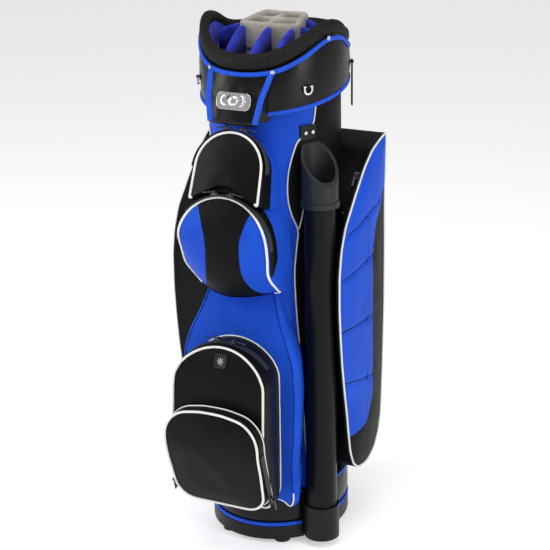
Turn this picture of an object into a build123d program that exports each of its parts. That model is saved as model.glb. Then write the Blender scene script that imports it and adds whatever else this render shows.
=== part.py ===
"""Golf cart bag that stands on its own six feet.

Built about the vertical axis of the body tube: X is the bag's width, -Y its front and +Z up.
Every piece is moved by AXIS_Y when it is saved, so the row's origin is the middle of the
footprint of the whole bag. All values are millimetres and degrees.
"""
import os
from math import atan2, cos, degrees, hypot, radians, sin

from build123d import *

# ---- driving dimensions -------------------------------------------------------------------
AXIS_Y = 55.0                    # from the origin to the body tube's axis
GAP = 0.4                        # air between neighbouring bodies and skins

BODY_A, BODY_B = 108.0, 122.0    # half width and half depth of the body tube
BODY_WALL = 3.0
BODY_TOP = 830.0

BASE_A, BASE_B = 120.2, 134.6    # moulded base tub
BASE_FLOOR, BASE_LIP = 9.0, 33.0
BASE_TOP = 96.0
SLEEVE_A, SLEEVE_B = 116.0, 130.0
FOOT_R, FOOT_ANGLES = 14.0, (30, 90, 150, 210, 270, 330)

CUFF_A, CUFF_B = 121.2, 136.4    # padded cuff round the club mouth
CORE_A, CORE_B = 118.4, 133.6
CUFF_WALL = 9.0
TRIM_OUT = 1.4                   # how far a trim stands out of its skin
TRIM_HALF = 3.2                  # half the height of a trim
PAD_HEIGHT = 30.0
CUFF_LOW_Z, CUFF_LOW_SLOPE = 799.7, 0.16
CUFF_EDGE = ((-150, 840), (-122, 848), (-90, 866), (-45, 894), (-10, 901), (20, 892), (60, 866), (150, 863))

TUBE_X, TUBE_Y = 118.0, -78.0    # putter tube
TUBE_R, TUBE_WALL = 27.0, 1.5
TUBE_LOW, TUBE_TOP = 26.0, 621.0
COLLAR_R = 31.0
COLLAR_LIP, COLLAR_HIGH = 660.0, 727.0
BRACKET_ANGLE, BRACKET_Z = 57.0, 741.0

BLOCK_FRONT, BLOCK_BACK = -28.0, 47.0     # raised middle of the club divider
BLOCK_FRONT_X, BLOCK_BACK_X = 57.0, 41.0  # its half widths, as it narrows to the back
BLOCK_TOP_FRONT, BLOCK_TOP_BACK = 907.0, 917.0
BAR = 9.0                        # padded walls between its mouths
SPOKE, SPOKE_TOP = 5.0, 880.0    # padded walls from the block to the lining
SPOKES_FRONT, SPOKES_BACK, SPOKES_SIDE = (-44.0, 4.0, 46.0), (-30.0, 0.0, 30.0), (-8.0, 28.0)
PANEL = 1.6                      # full-length divider panels
PANEL_LOW, PANEL_TOP = 16.0, 862.0

SIDE_X = 158.0                   # outer face of the apparel pockets
WRAP_OUT, WRAP_TRIM = 3.0, 7.0   # base wrap, and the height of the trim under it
TOP_TRIM_OUT, TOP_TRIM = 4.5, 5.0
SIDE_BACK = 110.0                # how far back the front pockets reach
VALUABLES_LOW, VALUABLES_HIGH = (-196.0, 647.0), (-155.0, 755.0)   # its slanted face, in Y and Z
VALUABLES_R, VALUABLES_ZC = 67.0, 50.0
MID_R, MID_ZC, MID_FRONT, MID_FOOT = 85.0, 571.0, -205.0, 92.0
MESH_FRONT = -158.0
LOWER_R, LOWER_ZC, LOWER_HALF = 100.0, 302.0, 88.0
LOWER_ARC_X = 80.0
LOWER_ARC_Z = LOWER_ZC + (LOWER_R ** 2 - LOWER_ARC_X ** 2) ** 0.5
LOWER_FACE = ((-214, 402), (-233.6, 344), (-234, 304), (-235, 230), (-203, 130), (-196.3, 106))
COOLER_DEPTH, COOLER_WALL, LID_T = 27.0, 3.0, 3.0
COOLER_HALF, COOLER_LOW, COOLER_HIGH = 90.0, 115.0, 301.0
COOLER_FACE = ((-225, 112), (-230, 130), (-262, 230), (-261, 304))  # side view, foot to top
COOLER_SLIDER_Z = 142.0
MOUTH_TOP, MOUTH_X = (12.0, 666.0), 150.0              # sloping zipped mouth of an apparel pocket
APPAREL_CURVE = ((-66, 583), (-88, 520), (-90, 445), (-82, 352), (-62, 255), (-45, 165), (-13, 124),
                 (24, 119), (62, 132), (88, 175), (99, 285))
SLIDER_ROOM = 12.0               # height kept free over a zip for its slider and pull

SLIDER_L, SLIDER_W, SLIDER_T = 12.0, 8.0, 3.2
PIN_Z, PIN_R, EYE_R = 5.4, 0.8, 1.9
PULL_L, PULL_W, PULL_T = 22.0, 4.4, 1.4
TAPE_W, TAPE_T = 12.0, 1.2


# ---- helpers ------------------------------------------------------------------------------
def save(name, *solids):
    """Write one node: one solid, or a group of separate ones."""
    placed = [Pos(0, AXIS_Y, 0) * solid for solid in solids]
    export_step(placed[0] if len(placed) == 1 else Compound(children=placed), f"parts/{name}.step")


def disc(a, b, low, high):
    """Upright elliptical column."""
    return Pos(0, 0, low) * extrude(Ellipse(a, b), high - low)


def band(a, b, wall, low, high):
    """Upright elliptical ring with its wall inside a and b."""
    return disc(a, b, low, high) - disc(a - wall, b - wall, low - 1, high + 1)


def front_prism(outline, near, far):
    """Outline in X and Z, as a column running along Y from near to far."""
    return Pos(0, far, 0) * extrude(Plane.XZ * outline, far - near)


def side_prism(outline, low, high):
    """Outline in Y and Z, as a column running along X from low to high."""
    return Pos(low, 0, 0) * extrude(Plane.YZ * outline, high - low)


def on_oval(a, b, angle):
    """Point at an angle from the front of an ellipse, and the way its wall faces there."""
    x, y = a * sin(radians(angle)), -b * cos(radians(angle))
    nx, ny = x / a ** 2, y / b ** 2
    size = hypot(nx, ny)
    return x, y, nx / size, ny / size


def wall_plane(a, b, angle, z):
    """Plane on an elliptical wall: its Z faces out and its X runs level along the wall."""
    x, y, nx, ny = on_oval(a, b, angle)
    return Plane(origin=(x, y, z), x_dir=(-ny, nx, 0), z_dir=(nx, ny, 0))


def tube_column(radius, low, high):
    """Upright column about the putter tube's axis."""
    return Pos(TUBE_X, TUBE_Y, (low + high) / 2) * Cylinder(radius, high - low)


def mirrored(shape):
    """The same piece on the bag's other side."""
    return mirror(shape, about=Plane.YZ)


# ---- base ---------------------------------------------------------------------------------
def base_tub():
    """Moulded tub that the body tube stands in, scooped out for the putter tube's foot."""
    tub = disc(BASE_A, BASE_B, BASE_FLOOR, BASE_LIP) + disc(SLEEVE_A, SLEEVE_B, BASE_LIP, BASE_TOP)
    tub -= disc(BODY_A + GAP, BODY_B + GAP, PANEL_LOW - GAP, BASE_TOP + 1)
    return tub - tube_column(COLLAR_R + GAP, 0, 120)


def base_feet():
    feet = []
    for angle in FOOT_ANGLES:
        x, y, _, _ = on_oval(BASE_A - FOOT_R - 4, BASE_B - FOOT_R - 4, angle)
        feet.append(Pos(x, y, BASE_FLOOR / 2) * Cylinder(FOOT_R, BASE_FLOOR))
    return feet


def base_ring(out, low, high):
    """Sewn ring round the tub's sleeve, left open where the putter tube stands."""
    ring = disc(SLEEVE_A + out, SLEEVE_B + out, low, high) - disc(SLEEVE_A + GAP, SLEEVE_B + GAP, low - 1, high + 1)
    return ring - tube_column(COLLAR_R + GAP, 0, 120)


def body_shell():
    return band(BODY_A, BODY_B, BODY_WALL, PANEL_LOW, BODY_TOP)


# ---- cuff ---------------------------------------------------------------------------------
def cuff_low_line(rise):
    """Height of the cuff's lower edge at a depth y, raised by rise."""
    return [(y, CUFF_LOW_Z + CUFF_LOW_SLOPE * y + rise) for y in (-160, 160)]


def cuff_slice(ring, low_rise, high_rise):
    """Part of a ring between the cuff's sloping lower edge and its waved upper edge."""
    top = Spline(*[(y, z + high_rise) for y, z in CUFF_EDGE])
    low = cuff_low_line(low_rise)
    sides = [Line(top @ 0, low[0]), Line(low[0], low[1]), Line(low[1], top @ 1)]
    return ring & side_prism(make_face([top, *sides]), -160, 160)


def edge_slice(ring, low_rise, high_rise):
    """Part of a ring that follows the cuff's waved upper edge between two rises."""
    top = Spline(*[(y, z + high_rise) for y, z in CUFF_EDGE])
    low = Spline(*[(y, z + low_rise) for y, z in CUFF_EDGE])
    return ring & side_prism(make_face([top, Line(top @ 1, low @ 1), low, Line(low @ 0, top @ 0)]), -160, 160)


def low_slice(ring, low_rise, high_rise):
    """Part of a ring that follows the cuff's lower edge between two rises."""
    low, high = cuff_low_line(low_rise), cuff_low_line(high_rise)
    return ring & side_prism(make_face(Polyline(*low, *reversed(high), close=True)), -160, 160)


def cuff_ring(a, b, inner_a, inner_b):
    return disc(a, b, 760, 960) - disc(inner_a, inner_b, 759, 961)


def cuff_core():
    return cuff_slice(cuff_ring(CORE_A, CORE_B, CORE_A - CUFF_WALL, CORE_B - CUFF_WALL), -TRIM_HALF, TRIM_HALF)


def cuff_cover():
    ring = cuff_ring(CUFF_A, CUFF_B, CORE_A + GAP, CORE_B + GAP)
    return cuff_slice(ring, TRIM_HALF + GAP, -TRIM_HALF - GAP)


def cuff_trims():
    ring = cuff_ring(CUFF_A + TRIM_OUT, CUFF_B + TRIM_OUT, CORE_A + GAP, CORE_B + GAP)
    return [low_slice(ring, -TRIM_HALF, TRIM_HALF), edge_slice(ring, -TRIM_HALF, TRIM_HALF)]


def cuff_pad():
    """Padded rim on top of the core."""
    ring = cuff_ring(CUFF_A, CUFF_B, CORE_A - CUFF_WALL - 5, CORE_B - CUFF_WALL - 5)
    return edge_slice(ring, TRIM_HALF + GAP, PAD_HEIGHT)


def cuff_lining():
    """Velour lining inside the core, from the divider up to the pad."""
    out_a, out_b = CORE_A - CUFF_WALL - GAP, CORE_B - CUFF_WALL - GAP
    ring = cuff_ring(out_a, out_b, out_a - 2.5, out_b - 2.5) - disc(BODY_A + 2, BODY_B + 2, 700, BODY_TOP + GAP)
    return edge_slice(ring, -60, TRIM_HALF)


# ---- front of the cuff --------------------------------------------------------------------
TONGUE_TOP, TONGUE_LOW = (-138.5, 842.0), (-161.0, 768.0)   # the tongue's front face, in Y and Z
TONGUE_TOP_X, TONGUE_LOW_X = 53.0, 41.0


def tongue_plane(z):
    """Plane on the tongue's front face at a height: X level, Y up the slope."""
    (y0, z0), (y1, z1) = TONGUE_TOP, TONGUE_LOW
    y = y1 + (y0 - y1) * (z - z1) / (z0 - z1)
    return Plane(origin=(0, y, z), x_dir=(1, 0, 0), z_dir=(0, z1 - z0, y0 - y1))


def front_tongue():
    """Vinyl tongue that swells out from under the cuff's edge, over the valuables pocket."""
    face = make_face(Polyline((-TONGUE_TOP_X, 840), (TONGUE_TOP_X, 840), (TONGUE_LOW_X, 766),
                              (-TONGUE_LOW_X, 766), close=True))
    side = make_face(Polyline(TONGUE_TOP, TONGUE_LOW, (-156, 764), (-118, 786), (-118, 842), close=True))
    tongue = front_prism(face, -170, -100) & side_prism(side, -60, 60)
    return tongue - disc(CUFF_A + TRIM_OUT + GAP, CUFF_B + TRIM_OUT + GAP, 740, 900)


def tongue_straps():
    """Two webbing bands on the tongue's slanted edges."""
    (_, z0), (_, z1) = TONGUE_TOP, TONGUE_LOW
    length = hypot(z0 - z1, TONGUE_TOP[0] - TONGUE_LOW[0])
    lean = degrees(atan2(TONGUE_TOP_X - TONGUE_LOW_X, length))
    middle = tongue_plane((z0 + z1) / 2)
    centre = (TONGUE_TOP_X + TONGUE_LOW_X) / 2 - 3
    strap = middle * (Pos(centre, 0, GAP + 1) * Rot(0, 0, -lean) * Box(10, length, 2))
    return [strap, mirrored(strap)]


def badge_plate():
    """Blank rounded plate on the tongue."""
    plate = extrude(tongue_plane(802) * (Pos(0, 0, GAP) * RectangleRounded(62, 28, 10)), 2.2)
    return fillet(plate.faces().sort_by(Axis.Y)[0].edges(), 0.8)


def cuff_rivets():
    rivets = []
    for angle, z in ((27.1, 848), (-27.1, 848), (72, 894), (-72, 894)):
        x, y, nx, ny = on_oval(CUFF_A + TRIM_OUT, CUFF_B + TRIM_OUT, angle)
        plane = Plane(origin=(x + GAP * nx, y + GAP * ny, z), z_dir=(nx, ny, 0))
        rivets.append(plane * (Pos(0, 0, 1.2) * Cylinder(3.8, 2.4)))
    return rivets


# ---- hanging rings ------------------------------------------------------------------------
RING_WIRE, RING_HALF, RING_DROP = 1.5, 11.0, 17.0
TOWEL_HALF, TOWEL_DROP = 7.0, 12.0
RING_OUT = 5.0                   # from the wall to the ring's own plane


def ring_lug(plane, width=20):
    """Plate sewn to the wall with a tunnel that holds a ring's straight side."""
    plate = plane * (Pos(0, 2, 1) * Box(width, 14, 2))
    tunnel = plane * (Pos(0, 0, RING_OUT) * Rot(0, 90, 0) * Cylinder(RING_WIRE + 1.6, width / 2))
    neck = plane * (Pos(0, 0, 2.5) * Box(width / 2, 4, 3))
    hole = plane * (Pos(0, 0, RING_OUT) * Rot(0, 90, 0) * Cylinder(RING_WIRE + 0.06, 30))
    return plate + (tunnel + neck - hole)


def d_ring(plane, half=RING_HALF, drop=RING_DROP):
    """D-shaped wire ring that hangs from its straight side."""
    bar = Polyline((-half, 0), (half, 0))
    legs = [Line((side * half, 0), (side * half, half - drop)) for side in (-1, 1)]
    bow = ThreePointArc((-half, half - drop), (0, -drop), (half, half - drop))
    outline = make_face([bar, *legs, bow])
    wire = extrude(offset(outline, RING_WIRE, kind=Kind.INTERSECTION), RING_WIRE, both=True)
    wire -= extrude(offset(outline, -RING_WIRE, kind=Kind.INTERSECTION), RING_WIRE, both=True)
    wire -= Box(2 * half - 2 * RING_WIRE, 2 * RING_WIRE + 0.02, 10)
    wire += Rot(0, 90, 0) * Cylinder(RING_WIRE, 2 * half)
    return plane * (Pos(0, 0, RING_OUT) * wire)


def ring_places():
    """Each hanging ring's name and the wall plane that it hangs on."""
    places = {}
    for side, name in ((1, "right"), (-1, "left")):
        places[f"towel_ring_{name}"] = wall_plane(CUFF_A + GAP, CUFF_B + GAP, side * 53, 821)
    places["side_ring"] = wall_plane(CUFF_A + GAP, CUFF_B + GAP, 118, 835)
    places["strap_ring_upper"] = wall_plane(CUFF_A + GAP, CUFF_B + GAP, 180, 838)
    low = wall_plane(BODY_A + 5 + GAP, BODY_B + 5 + GAP, 180, 300)
    places["strap_ring_lower"] = Plane(origin=low.origin, x_dir=-low.x_dir, z_dir=low.z_dir)
    return places


# ---- club divider -------------------------------------------------------------------------
def block_x(y):
    """Half width of the raised block at a depth y."""
    return BLOCK_FRONT_X + (BLOCK_BACK_X - BLOCK_FRONT_X) * (y - BLOCK_FRONT) / (BLOCK_BACK - BLOCK_FRONT)


def divider_mouth(side, near, far):
    """Plan of one mouth, between the middle bar and the block's slanted side."""
    corners = [(side * BAR / 2, near), (side * (block_x(near) - BAR), near),
               (side * (block_x(far) - BAR), far), (side * BAR / 2, far)]
    mouth = make_face(Polyline(*corners, close=True))
    return fillet(mouth.vertices(), 6)


def divider_top():
    """Padded block with four mouths that stands up in the middle of the cuff."""
    corners = [(-BLOCK_FRONT_X, BLOCK_FRONT), (BLOCK_FRONT_X, BLOCK_FRONT), (BLOCK_BACK_X, BLOCK_BACK),
               (-BLOCK_BACK_X, BLOCK_BACK)]
    plan = fillet(make_face(Polyline(*corners, close=True)).vertices(), 12)
    low, height = PANEL_TOP + GAP, BLOCK_TOP_BACK - PANEL_TOP
    block = Pos(0, 0, low) * extrude(plan, height)
    middle = (BLOCK_FRONT + BLOCK_BACK) / 2
    rows = ((BLOCK_FRONT + BAR, middle - BAR / 2), (middle + BAR / 2, BLOCK_BACK - BAR))
    for near, far in rows:
        for side in (-1, 1):
            block -= Pos(0, 0, low) * extrude(divider_mouth(side, near, far), height + 1)
    slope = make_face(Polyline((BLOCK_FRONT, low), (BLOCK_FRONT, BLOCK_TOP_FRONT), (BLOCK_BACK, BLOCK_TOP_BACK),
                               (BLOCK_BACK, low), close=True))
    block &= side_prism(slope, -BLOCK_FRONT_X, BLOCK_FRONT_X)
    return fillet(block.faces().sort_by(Axis.Z)[-1].edges(), 3)


def upright(x0, y0, x1, y1, low, high, thick):
    """Flat upright plate between two points of the plan."""
    length, turn = hypot(x1 - x0, y1 - y0), degrees(atan2(y1 - y0, x1 - x0))
    return Pos((x0 + x1) / 2, (y0 + y1) / 2, (low + high) / 2) * Rot(0, 0, turn) * Box(length, thick, high - low)


def divider_spokes(low, high, thick, a, b, clear):
    """Plates from the block out to an elliptical wall, that start clear of the block's outline."""
    front, back = BLOCK_FRONT - clear, BLOCK_BACK + clear
    plates = [upright(x, -b, x, front, low, high, thick) for x in SPOKES_FRONT]
    plates += [upright(x, back, x, b, low, high, thick) for x in SPOKES_BACK]
    for y in SPOKES_SIDE:
        start = block_x(y - thick / 2) + clear
        plates += [upright(side * start, y, side * a, y, low, high, thick) for side in (-1, 1)]
    column = disc(a, b, low - 1, high + 1)
    return [plate & column for plate in plates]


def divider_walls():
    """Padded walls of the outer cells, from the panels up."""
    inner_a, inner_b = CORE_A - CUFF_WALL - 2.5 - 2 * GAP, CORE_B - CUFF_WALL - 2.5 - 2 * GAP
    return divider_spokes(PANEL_TOP + GAP, SPOKE_TOP, SPOKE, inner_a - 5, inner_b - 5, GAP)


def divider_panels():
    """Full-length panels that keep the club shafts apart, down to the base."""
    low, edge = PANEL_LOW + GAP, BAR / 2
    front, back, middle = BLOCK_FRONT + edge, BLOCK_BACK - edge, (BLOCK_FRONT + BLOCK_BACK) / 2
    near, far = middle - PANEL / 2 - GAP, middle + PANEL / 2 + GAP
    front_x, back_x = block_x(front) - edge, block_x(back) - edge
    plates = [upright(-front_x, front, front_x, front, low, PANEL_TOP, PANEL),
              upright(-back_x, back, back_x, back, low, PANEL_TOP, PANEL)]
    reach = block_x(middle) - edge - PANEL - GAP
    plates.append(upright(-reach, middle, reach, middle, low, PANEL_TOP, PANEL))
    start, end = front + PANEL / 2 + GAP, back - PANEL / 2 - GAP
    plates += [upright(0, start, 0, near, low, PANEL_TOP, PANEL), upright(0, far, 0, end, low, PANEL_TOP, PANEL)]
    for side in (-1, 1):
        plates.append(upright(side * (block_x(start + 1) - edge), start + 1, side * (block_x(end - 1) - edge), end - 1,
                              low, PANEL_TOP, PANEL))
    inner_a, inner_b = BODY_A - BODY_WALL - GAP, BODY_B - BODY_WALL - GAP
    return plates + divider_spokes(low, PANEL_TOP, PANEL, inner_a, inner_b, GAP - edge + PANEL / 2)


# ---- putter tube --------------------------------------------------------------------------
def putter_foot_cup():
    cup = tube_column(COLLAR_R, 14, 76) - tube_column(TUBE_R + GAP / 2, TUBE_LOW, 80)
    return cup - disc(BODY_A + GAP, BODY_B + GAP, 0, 100)


def putter_sleeve():
    return tube_column(TUBE_R, TUBE_LOW, TUBE_TOP) - tube_column(TUBE_R - TUBE_WALL, TUBE_LOW - 1, TUBE_TOP + 1)


def putter_collar():
    """Rubber mouth, cut aslant so that it opens out and forward, with a bead at its foot."""
    collar = tube_column(COLLAR_R, TUBE_TOP + GAP, COLLAR_HIGH)
    collar += tube_column(COLLAR_R + 2, TUBE_TOP + GAP, TUBE_TOP + 10)
    collar -= tube_column(TUBE_R - TUBE_WALL, TUBE_TOP - 1, COLLAR_HIGH + 1)
    reach = hypot(TUBE_X, TUBE_Y)
    out_x, out_y = TUBE_X / reach, TUBE_Y / reach
    slope = (COLLAR_HIGH - COLLAR_LIP) / (2 * COLLAR_R)
    origin = (TUBE_X, TUBE_Y, (COLLAR_HIGH + COLLAR_LIP) / 2)
    cut = Plane(origin=origin, x_dir=(-out_y, out_x, 0), z_dir=(out_x * slope, out_y * slope, 1))
    return collar - cut * (Pos(0, 0, 60) * Box(160, 160, 120)) - disc(BODY_A + 1, BODY_B + 1, 600, 760)


def collar_bracket():
    """Curved plate on the body tube, over the collar's high side."""
    plate = wall_plane(BODY_A, BODY_B, BRACKET_ANGLE, BRACKET_Z) * Box(30, 24, 16)
    return plate & (disc(BODY_A + 4, BODY_B + 4, 700, 760) - disc(BODY_A + GAP, BODY_B + GAP, 690, 770))


def bracket_rivets():
    plane = wall_plane(BODY_A + 4 + GAP, BODY_B + 4 + GAP, BRACKET_ANGLE, BRACKET_Z)
    return [plane * (Pos(side * 7, 0, 1.2) * Cylinder(3.0, 2.4)) for side in (-1, 1)]


# ---- pockets ------------------------------------------------------------------------------
def arch(half, straight, radius):
    """Outline with a round head of one radius, on legs that spread to half at the base line."""
    legs = Polyline((-radius, straight), (-half, 0), (half, 0), (radius, straight))
    return make_face([legs, ThreePointArc((-radius, straight), (0, straight + radius), (radius, straight))])


def valuables_plane():
    """Slanted front of the valuables pocket: Y runs up the slope and Z faces forward."""
    (y0, z0), (y1, z1) = VALUABLES_LOW, VALUABLES_HIGH
    return Plane(origin=(0, y0, z0), x_dir=(1, 0, 0), z_dir=(0, z0 - z1, y1 - y0))


def body_column(gap):
    return disc(BODY_A + gap, BODY_B + gap, 0, 900)


def valuables_outline():
    return arch(VALUABLES_R + 3, VALUABLES_ZC, VALUABLES_R)


def valuables_pocket():
    pocket = valuables_plane() * extrude(valuables_outline(), -90)
    pocket -= Pos(0, -160, MID_ZC) * Rot(90, 0, 0) * Cylinder(MID_R + SLIDER_ROOM, 160)
    return pocket - body_column(GAP)


def mid_outline():
    """Front view of the middle pocket: a round head on legs that spread to a wide foot."""
    foot = Polyline((-MID_R, MID_ZC), (-MID_FOOT, 506), (-MID_FOOT + 14, 482), (MID_FOOT - 14, 482),
                    (MID_FOOT, 506), (MID_R, MID_ZC))
    return make_face([foot, ThreePointArc((-MID_R, MID_ZC), (0, MID_ZC + MID_R), (MID_R, MID_ZC))])


def mid_pocket():
    side = make_face(Polyline((MID_FRONT + 9, 670), (MID_FRONT, 600), (MID_FRONT, 530), (MID_FRONT + 14, 480),
                              (-SIDE_BACK, 480), (-SIDE_BACK, 670), close=True))
    pocket = front_prism(mid_outline(), -220, -SIDE_BACK) & side_prism(side, -120, 120)
    return pocket - body_column(GAP)


def mesh_pocket():
    """Broad lower pocket behind the black one, pointed at its foot."""
    front = make_face(Polyline((-66, 474), (66, 474), (84, 441), (106, 378), (108, 300), (104, 173), (98, 130),
                               (86, 103), (-86, 103), (-98, 130), (-104, 173), (-108, 300), (-106, 378), (-84, 441),
                               close=True))
    side = make_face(Polyline((-138, 474), (MESH_FRONT, 408), (MESH_FRONT, 103), (-SIDE_BACK, 103),
                              (-SIDE_BACK, 474), close=True))
    return (front_prism(front, -170, -SIDE_BACK) & side_prism(side, -120, 120)) - body_column(GAP)


def lower_outline():
    foot = Polyline((-LOWER_ARC_X, LOWER_ARC_Z), (-LOWER_HALF, 338), (-LOWER_HALF, 124), (-LOWER_HALF + 18, 106),
                    (LOWER_HALF - 18, 106), (LOWER_HALF, 124), (LOWER_HALF, 338), (LOWER_ARC_X, LOWER_ARC_Z))
    return make_face([foot, ThreePointArc((-LOWER_ARC_X, LOWER_ARC_Z), (0, LOWER_ZC + LOWER_R),
                                          (LOWER_ARC_X, LOWER_ARC_Z))])


def lower_pocket():
    side = make_face(Polyline(*LOWER_FACE, (MESH_FRONT - GAP, 106), (MESH_FRONT - GAP, 406), (-214, 406), close=True))
    return front_prism(lower_outline(), -260, -100) & side_prism(side, -120, 120)


def cooler_outline(inset):
    """Front view of the cooler pocket, drawn in by inset."""
    half, corner = COOLER_HALF - inset, 30 - inset
    low, high = COOLER_LOW + inset, COOLER_HIGH - inset
    return Pos(0, (low + high) / 2) * RectangleRounded(2 * half, high - low, corner)


def cooler_side(front_in, back_in):
    """Side view of a layer of the cooler pocket, from its face inward."""
    front = [(y + front_in, z) for y, z in COOLER_FACE]
    back = [(y + back_in, z) for y, z in COOLER_FACE]
    return side_prism(make_face(Polyline(*front, *reversed(back), close=True)), -120, 120)


def cooler_tub():
    """Gusset and back of the cooler pocket, open to the front."""
    walls = front_prism(cooler_outline(0), -290, -190) - front_prism(cooler_outline(COOLER_WALL), -291, -189)
    walls &= cooler_side(LID_T + GAP, COOLER_DEPTH - GAP)
    back = front_prism(cooler_outline(0), -290, -190) & cooler_side(COOLER_DEPTH - COOLER_WALL, COOLER_DEPTH - GAP)
    return walls + back


def cooler_lid():
    return front_prism(cooler_outline(0), -290, -190) & cooler_side(0, LID_T)


def apparel_outline():
    """Side view of an apparel pocket: straight top and sloping mouth, round front and foot."""
    curve = Spline(*APPAREL_CURVE)
    lines = Polyline(curve @ 1, (105, 400), (101, 594), (107, 708), (46, 691), MOUTH_TOP, curve @ 0)
    return make_face([curve, lines])


def apparel_pocket(putter_side):
    pocket = side_prism(apparel_outline(), 40, SIDE_X) - body_column(GAP)
    if putter_side:
        pocket -= tube_column(TUBE_R + 3.5, 0, 612)
        pocket -= tube_column(COLLAR_R + 5, 611, 740)
    return pocket.solids().sort_by(SortBy.VOLUME)[-1]


def lens_pocket():
    """Slim pocket that hugs the body between the middle pocket and the putter tube."""
    outline = make_face([ThreePointArc((-66, 743), (-91, 655), (-86, 571)), Line((-86, 571), (-66, 743))])
    shell = disc(BODY_A + 3.4, BODY_B + 3.4, 560, 750) - body_column(GAP)
    return (shell & side_prism(outline, 0, 120)) - tube_column(COLLAR_R + 2 + GAP, 560, 760)


# ---- zips ---------------------------------------------------------------------------------
def slider():
    """Zip slider, built about its middle: X is the way its pull points and Z faces out."""
    shape = Pos(0, 0, SLIDER_T / 2) * Box(SLIDER_L, SLIDER_W, SLIDER_T)
    for side in (-1, 1):
        shape += Pos(0, side * 2.7, (SLIDER_T + PIN_Z + 1.4) / 2) * Box(3.4, 1.2, PIN_Z + 1.4 - SLIDER_T)
    return shape + Pos(0, 0, PIN_Z) * Rot(90, 0, 0) * Cylinder(PIN_R, 5.0)


def pull():
    """Tab with an eye round the slider's pin."""
    eye = Pos(0, 0, PIN_Z) * Rot(90, 0, 0) * Cylinder(EYE_R, 3.4)
    tab = Pos(PULL_L / 2, 0, PIN_Z) * Box(PULL_L, 3.4, PULL_T)
    tab += Pos(PULL_L * 0.7, 0, PIN_Z) * Box(PULL_L * 0.6, PULL_W, PULL_T)
    return eye + tab - Pos(0, 0, PIN_Z) * Rot(90, 0, 0) * Cylinder(PIN_R + 0.06, 5)


def arc_place(plane, centre, radius, depth, angle):
    """Plane on a round gusset at an angle from its top: Z faces out, X points downhill."""
    side = 1 if angle > 0 else -1
    a = radians(angle)
    reach = radius + TAPE_T + GAP
    local = Plane(origin=(reach * sin(a), centre + reach * cos(a), -depth),
                  x_dir=(side * cos(a), -side * sin(a), 0), z_dir=(sin(a), cos(a), 0))
    return Plane(plane.location * local.location)


def upright_plane(y):
    """Upright plane that faces forward: X level and Y up."""
    return Plane(origin=(0, y, 0), x_dir=(1, 0, 0), z_dir=(0, -1, 0))


def cooler_place(side):
    """Where a cooler slider waits, at the foot of the gusset's straight side."""
    (y0, z0), (y1, z1) = COOLER_FACE[1], COOLER_FACE[2]
    rise = hypot(y1 - y0, z1 - z0)
    up = (0, (y1 - y0) / rise, (z1 - z0) / rise)
    y = y0 + (y1 - y0) * (COOLER_SLIDER_Z - z0) / (z1 - z0) + TAPE_W
    origin = (side * (COOLER_HALF + TAPE_T + GAP), y, COOLER_SLIDER_Z)
    return Plane(origin=origin, x_dir=(0, -up[1], -up[2]), z_dir=(side, 0, 0))


def apparel_place(side):
    """Where an apparel slider waits, at the top of the sloping mouth."""
    (y0, z0), (y1, z1) = MOUTH_TOP, APPAREL_CURVE[0]
    run = hypot(y1 - y0, z1 - z0)
    down, out = (0, (y1 - y0) / run, (z1 - z0) / run), (0, (z1 - z0) / run, -(y1 - y0) / run)
    start, lift = 16, TAPE_T + GAP
    origin = (side * MOUTH_X, y0 + start * down[1] + lift * out[1], z0 + start * down[2] + lift * out[2])
    return Plane(origin=origin, x_dir=down, z_dir=out)


def slider_places():
    """Each slider's name, its plane at rest, and how it moves."""
    places = {}
    arcs = (("valuables", valuables_plane(), VALUABLES_ZC, VALUABLES_R, 8, 13.0, 76.0),
            ("mid", upright_plane(MID_FRONT), MID_ZC, MID_R, 9, 9.5, 78.0),
            ("lower", upright_plane(-214), LOWER_ZC, LOWER_R, 16, 8.0, 34.0))
    for name, plane, centre, radius, depth, rest, travel in arcs:
        axis_point = plane.location * Pos(0, centre, 0)
        for side, word in ((1, "right"), (-1, "left")):
            places[f"{name}_slider_{word}"] = {
                "plane": arc_place(plane, centre, radius, depth, side * rest),
                "type": "hinge", "pos": axis_point.position, "axis": plane.z_dir * -side, "travel": travel}
    for side, word in ((1, "right"), (-1, "left")):
        plane = cooler_place(side)
        places[f"cooler_slider_{word}"] = {"plane": plane, "type": "slide", "axis": plane.x_dir * -1, "travel": 84.0}
        plane = apparel_place(side)
        places[f"apparel_slider_{word}"] = {"plane": plane, "type": "slide", "axis": plane.x_dir, "travel": 46.0}
    return places


def arc_tape(plane, centre, radius, depth, reach):
    """Zip tape on a round gusset, out to an angle each way."""
    ring = Pos(0, centre) * (Circle(radius + TAPE_T) - Circle(radius + 0.05))
    tip = radius + 20
    half = radians(reach / 2)
    wedge = make_face(Polyline((0, 0), (-tip * sin(2 * half), tip * cos(2 * half)), (-tip * sin(half), 2 * tip),
                               (tip * sin(half), 2 * tip), (tip * sin(2 * half), tip * cos(2 * half)), close=True))
    strip = extrude(ring & (Pos(0, centre) * wedge), TAPE_W)
    return plane * (Pos(0, 0, -depth - TAPE_W / 2) * strip)


def zipper_tapes():
    tapes = [arc_tape(valuables_plane(), VALUABLES_ZC, VALUABLES_R, 8, 89),
             arc_tape(upright_plane(MID_FRONT), MID_ZC, MID_R, 9, 89),
             arc_tape(upright_plane(-214), LOWER_ZC, LOWER_R, 16, 50)]
    for side in (-1, 1):
        lift = TAPE_T / 2 + GAP - 0.05
        tapes.append(cooler_place(side) * (Pos(-42, 0, -lift) * Box(110, TAPE_W, TAPE_T - 0.1)))
        tapes.append(apparel_place(side) * (Pos(30, 0, -lift) * Box(84, TAPE_W, TAPE_T - 0.1)))
    return tapes


# ---- back ---------------------------------------------------------------------------------
def back_panel():
    """Padded spine on the back of the body."""
    ring = disc(BODY_A + 5, BODY_B + 5, 130, 760) - body_column(GAP)
    return ring & (Pos(0, 120, 445) * Box(86, 120, 630))


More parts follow.
